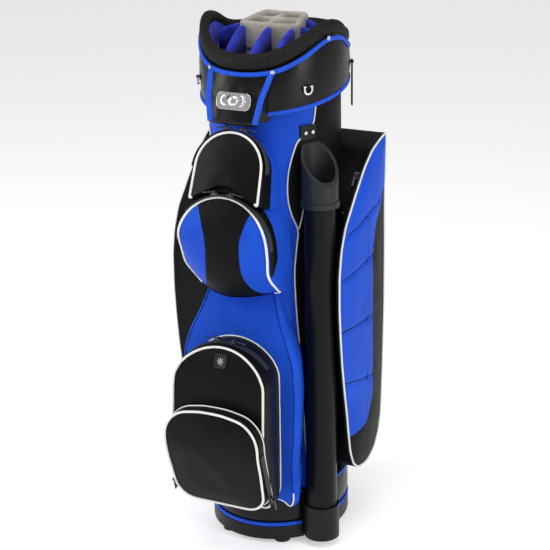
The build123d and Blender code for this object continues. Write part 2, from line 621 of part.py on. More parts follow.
def strap_rings():
    """Two fixed rings that hold the ends of the shoulder strap."""
    places = ring_places()
    return [d_ring(places["strap_ring_upper"]), d_ring(places["strap_ring_lower"])]


def shoulder_strap():
    """Padded strap that hangs down the back between its two rings."""
    outer = Spline((142, 812), (150, 740), (151, 560), (147, 420), (137, 324))
    inner = Spline((139, 812), (141, 740), (140, 560), (138, 420), (133, 324))
    side = make_face([outer, Line(outer @ 1, inner @ 1), inner, Line(inner @ 0, outer @ 0)])
    return side_prism(side, -26, 26)


def accessory_loop():
    """Short webbing loop that hangs from the side ring."""
    plane = ring_places()["side_ring"]
    drop = RING_DROP + RING_WIRE + GAP
    return plane * (Pos(0, -drop - 28, RING_OUT) * Box(18, 56, 3))


# ---- write the parts ----------------------------------------------------------------------
def build_parts():
    os.makedirs("parts", exist_ok=True)
    save("base_tub", base_tub())
    save("base_feet", *base_feet())
    save("base_wrap", base_ring(WRAP_OUT, BASE_LIP + WRAP_TRIM + GAP, BASE_TOP))
    save("base_trims", base_ring(WRAP_OUT + 2, BASE_LIP + GAP, BASE_LIP + WRAP_TRIM),
         base_ring(TOP_TRIM_OUT, BASE_TOP + GAP, BASE_TOP + TOP_TRIM))
    save("body_shell", body_shell())
    save("cuff_core", cuff_core())
    save("cuff_cover", cuff_cover())
    save("cuff_trims", *cuff_trims())
    save("cuff_pad", cuff_pad())
    save("cuff_lining", cuff_lining())
    save("front_tongue", front_tongue())
    save("tongue_straps", *tongue_straps())
    save("badge_plate", badge_plate())
    save("rivets", *cuff_rivets(), *bracket_rivets())
    rings = ring_places()
    save("ring_lugs", *[ring_lug(plane, 12 if name.startswith("towel") else 20) for name, plane in rings.items()])
    for name in ("towel_ring_right", "towel_ring_left"):
        save(name, d_ring(rings[name], TOWEL_HALF, TOWEL_DROP))
    save("side_ring", d_ring(rings["side_ring"]))
    save("strap_rings", *strap_rings())
    save("divider_top", divider_top())
    save("divider_walls", *divider_walls())
    save("divider_panels", *divider_panels())
    save("putter_foot_cup", putter_foot_cup())
    save("putter_sleeve", putter_sleeve())
    save("putter_collar", putter_collar())
    save("collar_bracket", collar_bracket())
    save("valuables_pocket", valuables_pocket())
    save("mid_pocket", mid_pocket())
    save("mesh_pocket", mesh_pocket())
    save("lower_pocket", lower_pocket())
    save("cooler_tub", cooler_tub())
    save("cooler_lid", cooler_lid())
    save("apparel_pocket_right", apparel_pocket(True))
    save("apparel_pocket_left", mirrored(apparel_pocket(False)))
    save("lens_pockets", lens_pocket(), mirrored(lens_pocket()))
    save("zipper_tapes", *zipper_tapes())
    save("back_panel", back_panel())
    save("shoulder_strap", shoulder_strap())
    save("accessory_loop", accessory_loop())
    for name, place in slider_places().items():
        save(name, place["plane"] * slider())
        save(name.replace("slider", "pull"), place["plane"] * pull())


if __name__ == "__main__":
    build_parts()
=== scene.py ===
"""Golf cart bag: fabric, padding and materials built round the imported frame.

Shapes are worked out in millimetres about the body tube's axis, as the design is, and
bag() turns such a point into the frame's metres.
"""
import math

import bmesh
import bpy
from mathutils import Matrix, Vector, noise


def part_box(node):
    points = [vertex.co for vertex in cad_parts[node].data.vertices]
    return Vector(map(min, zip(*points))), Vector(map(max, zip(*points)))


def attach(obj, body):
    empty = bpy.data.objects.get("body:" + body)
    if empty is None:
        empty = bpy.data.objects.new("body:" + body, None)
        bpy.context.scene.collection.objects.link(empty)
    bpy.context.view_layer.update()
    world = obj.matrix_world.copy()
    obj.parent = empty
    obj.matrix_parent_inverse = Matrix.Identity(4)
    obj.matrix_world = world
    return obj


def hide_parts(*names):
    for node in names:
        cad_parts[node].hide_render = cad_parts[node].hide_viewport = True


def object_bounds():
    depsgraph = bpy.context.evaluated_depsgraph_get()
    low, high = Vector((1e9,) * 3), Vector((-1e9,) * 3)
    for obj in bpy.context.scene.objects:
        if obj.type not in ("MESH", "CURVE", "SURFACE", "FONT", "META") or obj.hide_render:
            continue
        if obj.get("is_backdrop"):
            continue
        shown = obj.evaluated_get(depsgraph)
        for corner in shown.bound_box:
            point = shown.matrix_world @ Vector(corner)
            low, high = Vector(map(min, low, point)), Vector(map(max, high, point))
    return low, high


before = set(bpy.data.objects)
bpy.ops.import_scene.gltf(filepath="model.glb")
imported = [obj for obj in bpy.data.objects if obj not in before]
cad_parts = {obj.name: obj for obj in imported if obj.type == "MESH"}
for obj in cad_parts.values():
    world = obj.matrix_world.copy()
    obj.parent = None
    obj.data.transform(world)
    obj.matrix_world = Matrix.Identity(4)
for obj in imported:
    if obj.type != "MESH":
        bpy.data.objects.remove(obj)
cad_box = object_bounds()

# ---- sizes, in millimetres
MM = 0.001
shell_low, shell_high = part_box("body_shell")
AXIS_Y = (shell_low.y + shell_high.y) / 2 / MM
BODY_A = (shell_high.x - shell_low.x) / 2 / MM
BODY_B = (shell_high.y - shell_low.y) / 2 / MM
CUFF_A, CUFF_B = BODY_A + 13.2, BODY_B + 14.4
PIPING, THIN_PIPING = 2.1, 1.4
SIDE_X = 158.0          # flat outer side of the apparel pockets
SEAM_BLEND = 0.9        # width over which two cloths meet
WELD = 0.05             # points closer than this are joined
SIDES = ((1, "right"), (-1, "left"))


def bag(x, y, z):
    """Point about the body tube's axis, in millimetres, as a point of the frame."""
    return Vector((x, y + AXIS_Y, z)) * MM


# ---- node material helpers
class Nodes:
    """A material's node tree, with short calls that add and link nodes."""

    def __init__(self, name):
        self.material = bpy.data.materials.new(name)
        self.material.use_nodes = True
        self.tree = self.material.node_tree
        self.shader = self.tree.nodes["Principled BSDF"]
        self.place = self.tree.nodes.new("ShaderNodeTexCoord").outputs["Object"]

    def add(self, kind, **settings):
        node = self.tree.nodes.new(kind)
        for key, value in settings.items():
            setattr(node, key, value)
        return node

    def axes(self):
        split = self.add("ShaderNodeSeparateXYZ")
        self.link(self.place, split.inputs[0])
        return split.outputs

    def link(self, source, target):
        self.tree.links.new(source, target)

    def math(self, operation, a, b=0.0, clamp=False):
        node = self.add("ShaderNodeMath", operation=operation, use_clamp=clamp)
        for value, socket in zip((a, b), node.inputs):
            if isinstance(value, (int, float)):
                socket.default_value = value
            else:
                self.link(value, socket)
        return node.outputs[0]

    def scaled(self, scale, turn=(0, 0, 0)):
        node = self.add("ShaderNodeMapping")
        node.inputs["Scale"].default_value = scale
        node.inputs["Rotation"].default_value = turn
        self.link(self.place, node.inputs["Vector"])
        return node.outputs[0]

    def noise(self, scale, detail=2.0, rough=0.5, vector=None):
        node = self.add("ShaderNodeTexNoise")
        node.inputs["Scale"].default_value = scale
        node.inputs["Detail"].default_value = detail
        node.inputs["Roughness"].default_value = rough
        self.link(vector or self.place, node.inputs["Vector"])
        return node.outputs["Fac"]

    def cells(self, scale, randomness, vector=None, feature="F1"):
        node = self.add("ShaderNodeTexVoronoi", feature=feature)
        node.inputs["Scale"].default_value = scale
        node.inputs["Randomness"].default_value = randomness
        self.link(vector or self.place, node.inputs["Vector"])
        return node.outputs["Distance"]

    def ramp(self, value, stops):
        node = self.add("ShaderNodeValToRGB")
        for element, (position, color) in zip(node.color_ramp.elements, stops):
            element.position = position
            element.color = (*color, 1)
        self.link(value, node.inputs["Fac"])
        return node.outputs["Color"]

    def mix(self, share, a, b):
        node = self.add("ShaderNodeMix", data_type="RGBA")
        self.link(share, node.inputs[0])
        for value, socket in ((a, node.inputs[6]), (b, node.inputs[7])):
            if isinstance(value, tuple):
                socket.default_value = (*value, 1)
            else:
                self.link(value, socket)
        return node.outputs[2]

    def bump(self, height, distance, strength=1.0, under=None):
        node = self.add("ShaderNodeBump")
        node.inputs["Strength"].default_value = strength
        node.inputs["Distance"].default_value = distance
        self.link(height, node.inputs["Height"])
        if under:
            self.link(under, node.inputs["Normal"])
        return node.outputs["Normal"]

    def feed(self, name, value):
        if isinstance(value, tuple):
            self.shader.inputs[name].default_value = (*value, 1)
        elif isinstance(value, (int, float)):
            self.shader.inputs[name].default_value = value
        else:
            self.link(value, self.shader.inputs[name])

    def finish(self, color, normal, roughness, sheen=0.0, specular=0.5, metallic=0.0):
        for name, value in (("Base Color", color), ("Roughness", roughness), ("Normal", normal),
                            ("Sheen Weight", sheen), ("Specular IOR Level", specular),
                            ("Metallic", metallic)):
            self.feed(name, value)
        return self.material


BLACK = (0.0025, 0.0025, 0.003)
BLUE = (0.008, 0.072, 0.74)
DEEP_BLUE = (0.001, 0.004, 0.05)
# pale blue of the painted highlight patches on the blue mesh
PAINTED_HIGHLIGHT_BLUE = (0.03, 0.19, 0.95)
MESH_CELL = 5.0 * MM


def mesh_layers(n):
    """Colour and normal of open-weave mesh: bright threads round small dark holes set on a slanted grid, with
    cloudy patches of pale blue painted in as highlight.
    """
    x, y, z = n.axes()
    around = n.math("ADD", n.math("ABSOLUTE", x), y)
    grid = n.add("ShaderNodeCombineXYZ")
    n.link(n.math("ADD", around, z), grid.inputs["X"])
    n.link(n.math("SUBTRACT", around, z), grid.inputs["Y"])
    holes = n.cells(1 / MESH_CELL, 0.0, grid.outputs[0])
    threads = n.ramp(holes, [(0.28, DEEP_BLUE), (0.50, BLUE)])
    # noise mixes in cloudy patches of pale blue: a painted highlight
    color = n.mix(n.math("MULTIPLY", n.noise(9, 3), 0.38), threads, PAINTED_HIGHLIGHT_BLUE)
    soft = n.bump(n.noise(40, 2), 0.6 * MM, 0.5)
    return color, n.bump(holes, 0.6 * MM, 0.7, soft)


def blue_mesh():
    """Blue open-weave mesh."""
    n = Nodes("blue_mesh")
    color, normal = mesh_layers(n)
    return n.finish(color, normal, 0.6, specular=0.07)


def nylon_layers(n):
    """Colour and normal of fine black nylon cloth."""
    weave = n.cells(1 / (0.9 * MM), 0.0, n.scaled((1, 1, 1), (0.1, 0.8, 0.1)))
    color = n.mix(n.math("MULTIPLY", n.noise(14, 4), 0.5), BLACK, (0.006, 0.006, 0.0065))
    wrinkle = n.bump(n.noise(28, 3, 0.6), 1.2 * MM, 0.5)
    return color, n.bump(weave, 0.18 * MM, 0.5, wrinkle)


def black_nylon():
    """Plain black nylon cloth."""
    n = Nodes("black_nylon")
    color, normal = nylon_layers(n)
    return n.finish(color, normal, 0.4, specular=0.1)


def black_vinyl():
    """Grained vinyl with a soft shine."""
    n = Nodes("black_vinyl")
    grain = n.cells(1 / (1.3 * MM), 1.0, feature="SMOOTH_F1")
    color = n.mix(n.noise(20, 3), BLACK, (0.00425, 0.00425, 0.0051))
    wave = n.bump(n.noise(22, 2), 1.5 * MM, 0.45)
    rough = n.math("MULTIPLY_ADD", n.noise(60, 3), 0.12)
    rough.node.inputs[2].default_value = 0.24
    return n.finish(color, n.bump(grain, 0.22 * MM, 0.6, wave), rough, specular=0.2)


def woven(name, cell, stops, depth, rough, specular=0.5, **more):
    """Small cells of thread: more may hold their randomness and the scale and turn of their grid."""
    n = Nodes(name)
    grid = n.scaled(more["scale"], more.get("turn", (0, 0, 0))) if "scale" in more else None
    threads = n.cells(1 / (cell * MM), more.get("randomness", 0.0), grid)
    normal = n.bump(threads, depth * MM, more.get("strength", 0.8))
    return n.finish(n.ramp(threads, stops), normal, rough, specular=specular)


def webbing(name, bright, dark):
    """Ribbed nylon webbing."""
    return woven(name, 1.3, [(0.1, dark), (0.5, bright)], 0.35, 0.5, 0.12, scale=(1, 1, 1.6))


def velour(name, tone, light):
    """Brushed velour with a soft, cloudy pile."""
    n = Nodes(name)
    cloud = n.noise(26, 4, 0.6)
    pile = n.noise(900, 2)
    color = n.ramp(cloud, [(0.3, tone), (0.72, light)])
    soft = n.bump(n.noise(45, 2), 1.6 * MM, 0.6)
    return n.finish(color, n.bump(pile, 0.3 * MM, 0.5, soft), 0.85, sheen=0.15, specular=0.2)


def rim_mesh():
    """Black spacer mesh of the padded rim, with a grey glint between its holes."""
    stops = [(0.2, (0.002, 0.002, 0.002)), (0.55, (0.016, 0.015, 0.013))]
    return woven("rim_mesh", 2.8, stops, 0.7, 0.55, 0.08,
                 randomness=0.55, scale=(1, 1, 1), turn=(0.35, 0.7, 0.2))


def moulded(name, tone, roughness, grain=0.8):
    """Moulded plastic or rubber with a fine grain."""
    n = Nodes(name)
    speck = n.cells(1 / (grain * MM), 1.0)
    color = n.mix(n.noise(18, 3), tone, tuple(c * 1.5 for c in tone))
    return n.finish(color, n.bump(speck, 0.08 * MM, 0.5), roughness, specular=0.2)


def satin_tube():
    """Extruded tube: satin black with faint lengthwise draw lines."""
    n = Nodes("satin_tube")
    lines = n.noise(420, 2, vector=n.scaled((1, 1, 0.01)))
    color = n.mix(n.noise(9, 3), (0.0035, 0.0035, 0.004), (0.007, 0.007, 0.0075))
    return n.finish(color, n.bump(lines, 0.1 * MM, 0.4), 0.32, specular=0.12)


def piping_white():
    """Rounded white piping with a fine twist and a little soiling."""
    n = Nodes("piping_white")
    twist = n.cells(1 / (1.1 * MM), 0.0, n.scaled((1, 1, 1), (0.6, 0.5, 0.2)))
    color = n.mix(n.noise(30, 4), (0.80, 0.80, 0.76), (0.60, 0.60, 0.56))
    return n.finish(color, n.bump(twist, 0.12 * MM, 0.5), 0.42)


def bright_metal():
    """Polished chrome with faint rub marks."""
    n = Nodes("bright_metal")
    rub = n.noise(240, 3)
    rough = n.math("MULTIPLY_ADD", rub, 0.16)
    rough.node.inputs[2].default_value = 0.1
    return n.finish((0.72, 0.72, 0.74), n.bump(rub, 0.04 * MM, 0.3), rough, metallic=1.0)


def dark_metal():
    """Blackened metal, worn pale in spots."""
    n = Nodes("dark_metal")
    wear = n.noise(300, 4)
    color = n.ramp(wear, [(0.45, (0.05, 0.05, 0.052)), (0.75, (0.20, 0.20, 0.2))])
    return n.finish(color, n.bump(wear, 0.05 * MM, 0.4), 0.34, metallic=0.9)


def zip_tape():
    """Woven zip tape."""
    stops = [(0.1, (0.006, 0.006, 0.006)), (0.6, (0.02, 0.02, 0.021))]
    return woven("zip_tape", 0.8, stops, 0.15, 0.6, strength=0.7)


def float_line(n, up, pairs):
    """Value in metres along a height socket, through (height, value) pairs in millimetres."""
    low, high = pairs[0][0], pairs[-1][0]
    least, most = min(value for _, value in pairs), max(value for _, value in pairs)
    at = n.math("DIVIDE", n.math("SUBTRACT", up, low * MM), (high - low) * MM, clamp=True)
    curve = n.add("ShaderNodeFloatCurve")
    points = curve.mapping.curves[0].points
    while len(points) < len(pairs):
        points.new(0.5, 0.5)
    for point, (height, value) in zip(points, pairs):
        point.location = ((height - low) / (high - low), (value - least) / (most - least))
    curve.mapping.update()
    n.link(at, curve.inputs["Value"])
    return n.math("ADD", n.math("MULTIPLY", curve.outputs[0], (most - least) * MM), least * MM)


def ahead_of(pairs):
    """Share function for two_tone: 1 ahead of the line of (z, y) pairs, 0 behind it."""
    def share_of(n):
        _, y, z = n.axes()
        line = n.math("ADD", float_line(n, z, list(pairs)), AXIS_Y * MM)
        return n.math("DIVIDE", n.math("SUBTRACT", line, y), SEAM_BLEND * MM, clamp=True)
    return share_of


def two_tone(name, share_of):
    """Black nylon where share_of(n) is 0 and blue mesh where it is 1."""
    n = Nodes(name)
    blue, blue_normal = mesh_layers(n)
    black, black_normal = nylon_layers(n)
    share = share_of(n)
    blend = n.add("ShaderNodeMix", data_type="VECTOR")
    n.link(share, blend.inputs[0])
    n.link(black_normal, blend.inputs[4])
    n.link(blue_normal, blend.inputs[5])
    return n.finish(n.mix(share, black, blue), blend.outputs[1], 0.5, specular=0.08)


# ---- outline and mesh helpers
def resample(corners, count):
    """Evenly spaced points along a closed outline."""
    points = [Vector(p) for p in corners]
    points.append(points[0])
    steps = [0.0]
    for a, b in zip(points, points[1:]):
        steps.append(steps[-1] + (b - a).length)
    result, i = [], 0
    for k in range(count):
        reach = steps[-1] * k / count
        while i < len(steps) - 2 and steps[i + 1] < reach:
            i += 1
        share = (reach - steps[i]) / max(steps[i + 1] - steps[i], 1e-9)
        result.append(points[i].lerp(points[i + 1], min(share, 1.0)))
    return result


def smooth_loop(corners, count, softness):
    """Closed outline through the corners, evenly sampled and rounded off."""
    points = resample(corners, count)
    for _ in range(softness):
        points = [(points[i - 1] + 2 * p + points[(i + 1) % count]) / 4 for i, p in enumerate(points)]
    return points


def arc(centre, radius, start, end, count):
    """Points on a circle, by angles in degrees from up, clockwise."""
    angles = [math.radians(start + (end - start) * k / (count - 1)) for k in range(count)]
    return [(centre[0] + radius * math.sin(a), centre[1] + radius * math.cos(a)) for a in angles]


def through(pairs):
    """Smooth function through (x, y) pairs in rising x, level beyond them."""
    last = len(pairs) - 1

    def slope(k):
        (x0, y0), (x1, y1) = pairs[max(k - 1, 0)], pairs[min(k + 1, last)]
        return (y1 - y0) / (x1 - x0)

    def value(x):
        if x <= pairs[0][0]:
            return pairs[0][1]
        if x >= pairs[-1][0]:
            return pairs[-1][1]
        i = max(k for k in range(last) if pairs[k][0] <= x)
        (x0, y0), (x1, y1) = pairs[i], pairs[i + 1]
        h = x1 - x0
        t = (x - x0) / h
        return ((2 * t ** 3 - 3 * t ** 2 + 1) * y0 + (t ** 3 - 2 * t ** 2 + t) * h * slope(i)
                + (3 * t ** 2 - 2 * t ** 3) * y1 + (t ** 3 - t ** 2) * h * slope(i + 1))
    return value


def widest_gap(points):
    """Number of the point that follows the longest step of a closed run of points."""
    return max(range(len(points)), key=lambda i: (points[i] - points[i - 1]).length)


def outward(loop):
    """Outward normals of a closed 2-D loop, whichever way it turns."""
    area = sum(a.x * b.y - b.x * a.y for a, b in zip(loop, loop[1:] + loop[:1]))
    turn = 1 if area > 0 else -1
    normals = []
    for i in range(len(loop)):
        along = loop[(i + 1) % len(loop)] - loop[i - 1]
        normals.append(Vector((along.y, -along.x)).normalized() * turn)
    return normals


def placed(name, data):
    """New object of the scene with this data."""
    piece = bpy.data.objects.new(name, data)
    bpy.context.scene.collection.objects.link(piece)
    return piece


def smooth_faces(mesh):
    """Shades every face of a mesh smooth."""
    mesh.polygons.foreach_set("use_smooth", [True] * len(mesh.polygons))


def one_material(mesh, material):
    """Gives every face of a mesh the same material."""
    mesh.materials.clear()
    mesh.materials.append(material)
    mesh.polygons.foreach_set("material_index", [0] * len(mesh.polygons))


def build(name, verts, faces, materials, indexes):
    """Mesh object with smooth faces, its close points joined; indexes say which material each face has."""
    mesh = bpy.data.meshes.new(name)
    mesh.from_pydata([tuple(v) for v in verts], [], faces)
    for material in materials:
        mesh.materials.append(material)
    mesh.polygons.foreach_set("material_index", indexes)
    shape = bmesh.new()
    shape.from_mesh(mesh)
    bmesh.ops.remove_doubles(shape, verts=shape.verts, dist=WELD * MM)
    bmesh.ops.recalc_face_normals(shape, faces=shape.faces)
    shape.to_mesh(mesh)
    shape.free()
    smooth_faces(mesh)
    return placed(name, mesh)


def ladder(ring, first):
    """Rungs that close a ring of points from its top down; first is the number of its first point."""
    count = len(ring)
    top = max(range(count), key=lambda i: ring[i].z)
    faces = []
    for k in range((count + 1) // 2):
        corners = [first + (top + step) % count for step in (k, k + 1, -k - 1, -k)]
        rung = tuple(dict.fromkeys(corners))
        if len(rung) > 2:
            faces.append(rung)
    return faces


def skin(name, rings, materials, ring_material=None, closed=True, capped=True, backed=True):
    """Mesh through rings of equal length; the last is capped, and the first too when it is backed."""
    count = len(rings[0])
    verts = [v for ring in rings for v in ring]
    faces, indexes = [], []
    spans = count if closed else count - 1
    for r in range(len(rings) - 1):
        for i in range(spans):
            j = (i + 1) % count
            faces.append((r * count + i, r * count + j, (r + 1) * count + j, (r + 1) * count + i))
            indexes.append(ring_material[r] if ring_material else 0)
    if capped:
        ends = (0, len(rings) - 1) if backed else (len(rings) - 1,)
        for r in ends:
            cap = ladder(rings[r], r * count)
            faces += cap
            indexes += [indexes[0]] * len(cap)
    return build(name, verts, faces, materials, indexes)


def tube(name, path, radius, material, closed=True):
    """Round cord along frame points."""
    curve = bpy.data.curves.new(name, "CURVE")
    curve.dimensions = "3D"
    curve.bevel_depth = radius * MM
    curve.bevel_resolution = 3
    spline = curve.splines.new("POLY")
    spline.points.add(len(path) - 1)
    for point, place in zip(spline.points, path):
        point.co = (*place, 1)
    spline.use_cyclic_u = closed
    curve.use_fill_caps = True
    curve.materials.append(material)
    return placed(name, curve)


def keep(piece, body, replaced=()):
    """Rides the piece on its body and hides the CAD parts that it replaces."""
    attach(piece, body)
    if replaced:
        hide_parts(*replaced)


def body_x(y, out=0.0):
    """Half width of the body tube at a depth y."""
    a, b = BODY_A + out, BODY_B + out
    return a * math.sqrt(max(0.0, 1 - (y / b) ** 2))


def body_y(x, out=0.0):
    """Depth of the body tube's front at a half width x."""
    a, b = BODY_A + out, BODY_B + out
    return -b * math.sqrt(max(0.0, 1 - (x / a) ** 2))


# ---- padded pocket shapes
def pucker(u, v, s):
    """Small wrinkles of a sewn panel: broad dents inside, fine puckers beside the seam."""
    broad = noise.noise(Vector((u * 0.028, v * 0.028, 0.0))) * 1.5 * (1 - s * s)
    fine = noise.noise(Vector((u * 0.16, v * 0.16, 3.0))) * math.exp(-(1 - s) / 0.12)
    return broad + fine


def face_rings(loop, core, front, crown, place, rings=18, relief=None):
    """Rings from a loop in to its core line (u, low v, high v), crowned between them."""
    result = []
    u0, v0, v1 = core
    for k in range(rings + 1):
        s = (1 - k / (rings + 0.6)) ** 1.25
        ring = []
        for p in loop:
            middle = Vector((u0, min(max(p.y, v0), v1)))
            q = middle + (p - middle) * s
            lift = crown * (1 - s ** 2.4) + pucker(q.x, q.y, s)
            if relief:
                lift += relief(q.x, q.y) * min(1.0, (1 - s) / 0.06)
            ring.append(place(q.x, q.y, front(q.x, q.y) + lift - 0.6))
        result.append(ring)
    return result


def gusset_rings(loop, front, place, steps, back):
    """Rings behind a pocket's piping by (depth, outward) steps, then on to the points back(u, v)."""
    normals = outward(loop)
    result = []
    for depth, out in steps:
        result.append([place(*(p + n * out), front(p.x, p.y) - depth) for p, n in zip(loop, normals)])
    far = [back(p.x, p.y) for p in loop]
    start = result[-1]
    for k in range(1, GUSSET_SPANS + 1):
        t = k / GUSSET_SPANS
        ring = []
        for i, (a, b) in enumerate(zip(start, far)):
            ripple = noise.noise(Vector((i * 0.11, t * 2.0, 5.0))) * 1.3 * MM * math.sin(math.pi * t)
            point = a.lerp(b, t)
            away = (point - bag(0, 0, point.z / MM)).normalized()
            ring.append(point + away * ripple)
        result.append(ring)
    return result


def zip_band(name, points, front, place, depth, material):
    """Plain strip sewn over the fore part of a gusset, that runs out to a point at each end."""
    cut = widest_gap(points)
    points = points[cut:] + points[:cut]
    last = len(points) - 1
    rings = []
    for i, p in enumerate(points):
        along = (points[min(i + 1, last)] - points[max(i - 1, 0)]).normalized()
        n = Vector((along.y, -along.x))
        if n.dot(p - Vector((0, p.y - 40))) < 0:
            n = -n
        reach = depth * min(1.0, min(i, last - i) / 9) ** 0.6
        section = ((1.5, 1.0), (3.0, 3.0), (4.5, 3.5), (4.5 + reach * 0.5, 3.7), (4.5 + reach, 3.5),
                   (4.6 + reach, 1.5), (4.5 + reach * 0.5, 1.5))
        w = front(p.x, p.y)
        rings.append([place(*(p + n * out), w - back) for back, out in section])
    keep(skin(name, rings, [material]), "bag")


def piping_path(loop, front, place):
    """Frame points of a pocket's front edge."""
    return [place(p.x, p.y, front(p.x, p.y)) for p in loop]


def open_piping(name, loop, path, wanted, material):
    """Piping along the stretch of an outline that wanted(point) picks."""
    chosen = [q for p, q in zip(loop, path) if wanted(p)]
    start = widest_gap(chosen)
    keep(tube(name, chosen[start:] + chosen[:start], PIPING, material, False), "bag")


def by_height(side):
    """Front of a pocket that stands out by height alone."""
    return lambda _, v: side(v)


def upright(u, v, w):
    """Pocket point on an upright front: w stands out forward of the tube's axis."""
    return bag(u, -w, v)


def tapered_back(share, reach):
    """Far edge of a gusset that draws in towards the body tube."""
    def back(u, v):
        x = u * share
        return bag(x, body_y(x) + reach, v)
    return back


GUSSET = ((0.4, 1.2), (2.5, 2.6), (4.5, 3.0), (16.5, 3.0))
DEEP_GUSSET = ((0.4, 1.2), (2.5, 2.6), (4.5, 3.0), (22, 3.0))
SEAMED_GUSSET = ((-0.8, -0.5), (2.5, 2.2), (6, 4.0), (14, 4.5))
GUSSET_SPANS = 6


# ---- valuables pocket
VAL_LOW = Vector((0, -196, 647))
VAL_UP = Vector((0, 41, 108)).normalized()
VAL_OUT = Vector((0, -108, 41)).normalized()
VAL_R, VAL_ZC = 60.0, 52.0
VAL_FOOT_X, ZIP_ROOM = 62, 14.0
MID_ZC, MID_R, MID_WAIST_X = 571.0, 82.0, 4.0


def on_valuables(u, v, w):
    """Point on the valuables pocket, whose face leans back."""
    p = VAL_LOW + VAL_UP * v + VAL_OUT * w
    return bag(u, p.y, p.z)


def valuables_loop():
    """Round head, sides that spread a little and a foot that arches over the middle pocket's zip."""
    rim = MID_R + ZIP_ROOM
    foot = []
    for x in range(VAL_FOOT_X, -VAL_FOOT_X - 1, -4):
        foot.append((x, (MID_ZC + math.sqrt(rim ** 2 - x ** 2) - VAL_LOW.z) / VAL_UP.z))
    head = arc((0, VAL_ZC), VAL_R, -90, 90, 40)
    return smooth_loop(head + foot, 200, 4)


def valuables_back(u, v):
    """Where the valuables pocket's gusset meets the body tube."""
    p = VAL_LOW + VAL_UP * v
    x = u * 0.97
    return bag(x, body_y(x) + 2, p.z - 0.38 * (body_y(x) - p.y))


def level_front(_u, _v):
    """The valuables pocket's own plane."""
    return 0.0


def build_valuables(mats):
    """Upper pocket: black face, and a gusset that turns from black to blue behind its zip."""
    loop = valuables_loop()
    face = face_rings(loop, (0, 30, 62), level_front, 7.0, on_valuables)
    keep(skin("valuables_face", face, [mats["black_nylon"]]), "bag", ["valuables_pocket"])
    sides = gusset_rings(loop, level_front, on_valuables, GUSSET, valuables_back)
    layers = [0] * (len(GUSSET) + 1) + [1] * (len(sides) - len(GUSSET) - 2)
    gusset = skin("valuables_gusset", sides, [mats["black_nylon"], mats["blue_mesh"]], layers, capped=False)
    keep(gusset, "bag")
    path = piping_path(loop, level_front, on_valuables)
    open_piping("valuables_piping", loop, path, lambda p: abs(p.x) > 56 or p.y > 40, mats["piping"])


# ---- middle pocket
MID_CORNER_X = 84.0
mid_side = through([(560, 205), (600, 205), (653, 196)])
mid_sweep_right = through([(470, 98), (482, 87), (487, 61), (501, 32), (531, 0), (560, 0), (700, 0)])
mid_sweep_left = through([(470, 90), (476, 82), (520, 35), (554, 15), (587, 1), (620, 0), (700, 0)])


def mid_front(u, v):
    """How far the middle pocket stands out; its foot sweeps back to the body, most of all at its corners."""
    corner = min(1.0, abs(u) / MID_CORNER_X) ** 2
    centre_fall = 24 * max(0.0, (552 - v) / 72) ** 1.7
    sweep = mid_sweep_right(v) if u > 0 else mid_sweep_left(v)
    return mid_side(v) - centre_fall * (1 - corner) - sweep * corner


def mid_loop():
    """Round head over a foot with tight corners."""
    head = arc((0, MID_ZC), MID_R, -90, 90, 48)
    right = [(85, 530), (84, 505), (80, 487), (50, 480)]
    foot = right + [(0, 478)] + [(-u, v) for u, v in reversed(right)]
    return smooth_loop(head + foot, 220, 5)


def mid_share(n):
    """1 on the two blue side panels, 0 on the black middle that narrows at its waist."""
    pairs = [(478, 60), (492, 50), (515, 38), (545, 32), (575, 31), (605, 37), (630, 46), (650, 54)]
    x, _, z = n.axes()
    width = float_line(n, z, pairs)
    aside = n.math("SUBTRACT", x, MID_WAIST_X * MM)
    beyond = n.math("SUBTRACT", n.math("ABSOLUTE", aside), width)
    return n.math("DIVIDE", beyond, SEAM_BLEND * MM, clamp=True)


def build_mid(mats):
    """Middle pocket: two blue panels beside a black one, and a black zip band on a blue gusset."""
    loop = mid_loop()
    face = face_rings(loop, (0, 520, 575), mid_front, 9.0, upright, 22)
    keep(skin("mid_face", face, [mats["mid_two_tone"]]), "bag", ["mid_pocket"])
    sides = gusset_rings(loop, mid_front, upright, GUSSET, tapered_back(0.86, 3))
    keep(skin("mid_gusset", sides, [mats["blue_mesh"]], capped=False), "bag")
    zip_band("mid_zip_band", [p for p in loop if p.y > 528], mid_front, upright, 26, mats["black_nylon"])
    path = piping_path(loop, mid_front, upright)
    open_piping("mid_piping", loop, path, lambda p: p.y > 484 or abs(p.x) > 66, mats["piping"])


# ---- broad mesh pocket
mesh_side = through([(88, 146), (130, 155), (200, 158), (380, 156), (430, 148), (486, 132)])
mesh_front = by_height(mesh_side)


def mesh_loop():
    """Narrow neck, wide belly and two tips at the foot."""
    right = [(40, 488), (60, 478), (68, 452), (78, 425), (92, 395), (103, 360), (107, 300), (104, 215),
             (100, 173), (102, 138), (99, 106), (91, 92), (80, 104), (60, 108)]
    return smooth_loop(right + [(-u, v) for u, v in reversed(right)], 260, 3)


def build_mesh_pocket(mats):
    """Broad blue pocket behind the lower one, with piping round its two tips."""
    loop = mesh_loop()
    face = face_rings(loop, (0, 150, 430), mesh_front, 6.0, upright, 20)
    keep(skin("mesh_pocket_face", face, [mats["blue_mesh"]]), "bag", ["mesh_pocket"])
    sides = gusset_rings(loop, mesh_front, upright, SEAMED_GUSSET, tapered_back(0.8, 3))
    keep(skin("mesh_pocket_gusset", sides, [mats["blue_mesh"]], capped=False), "bag")
    tips = [p for p in loop if p.y < 128]
    for side, word in SIDES:
        path = [upright(p.x, p.y, mesh_side(p.y) + 1) for p in tips if p.x * side > 55]
        keep(tube(f"mesh_tip_piping_{word}", path, THIN_PIPING, mats["piping"], False), "bag")


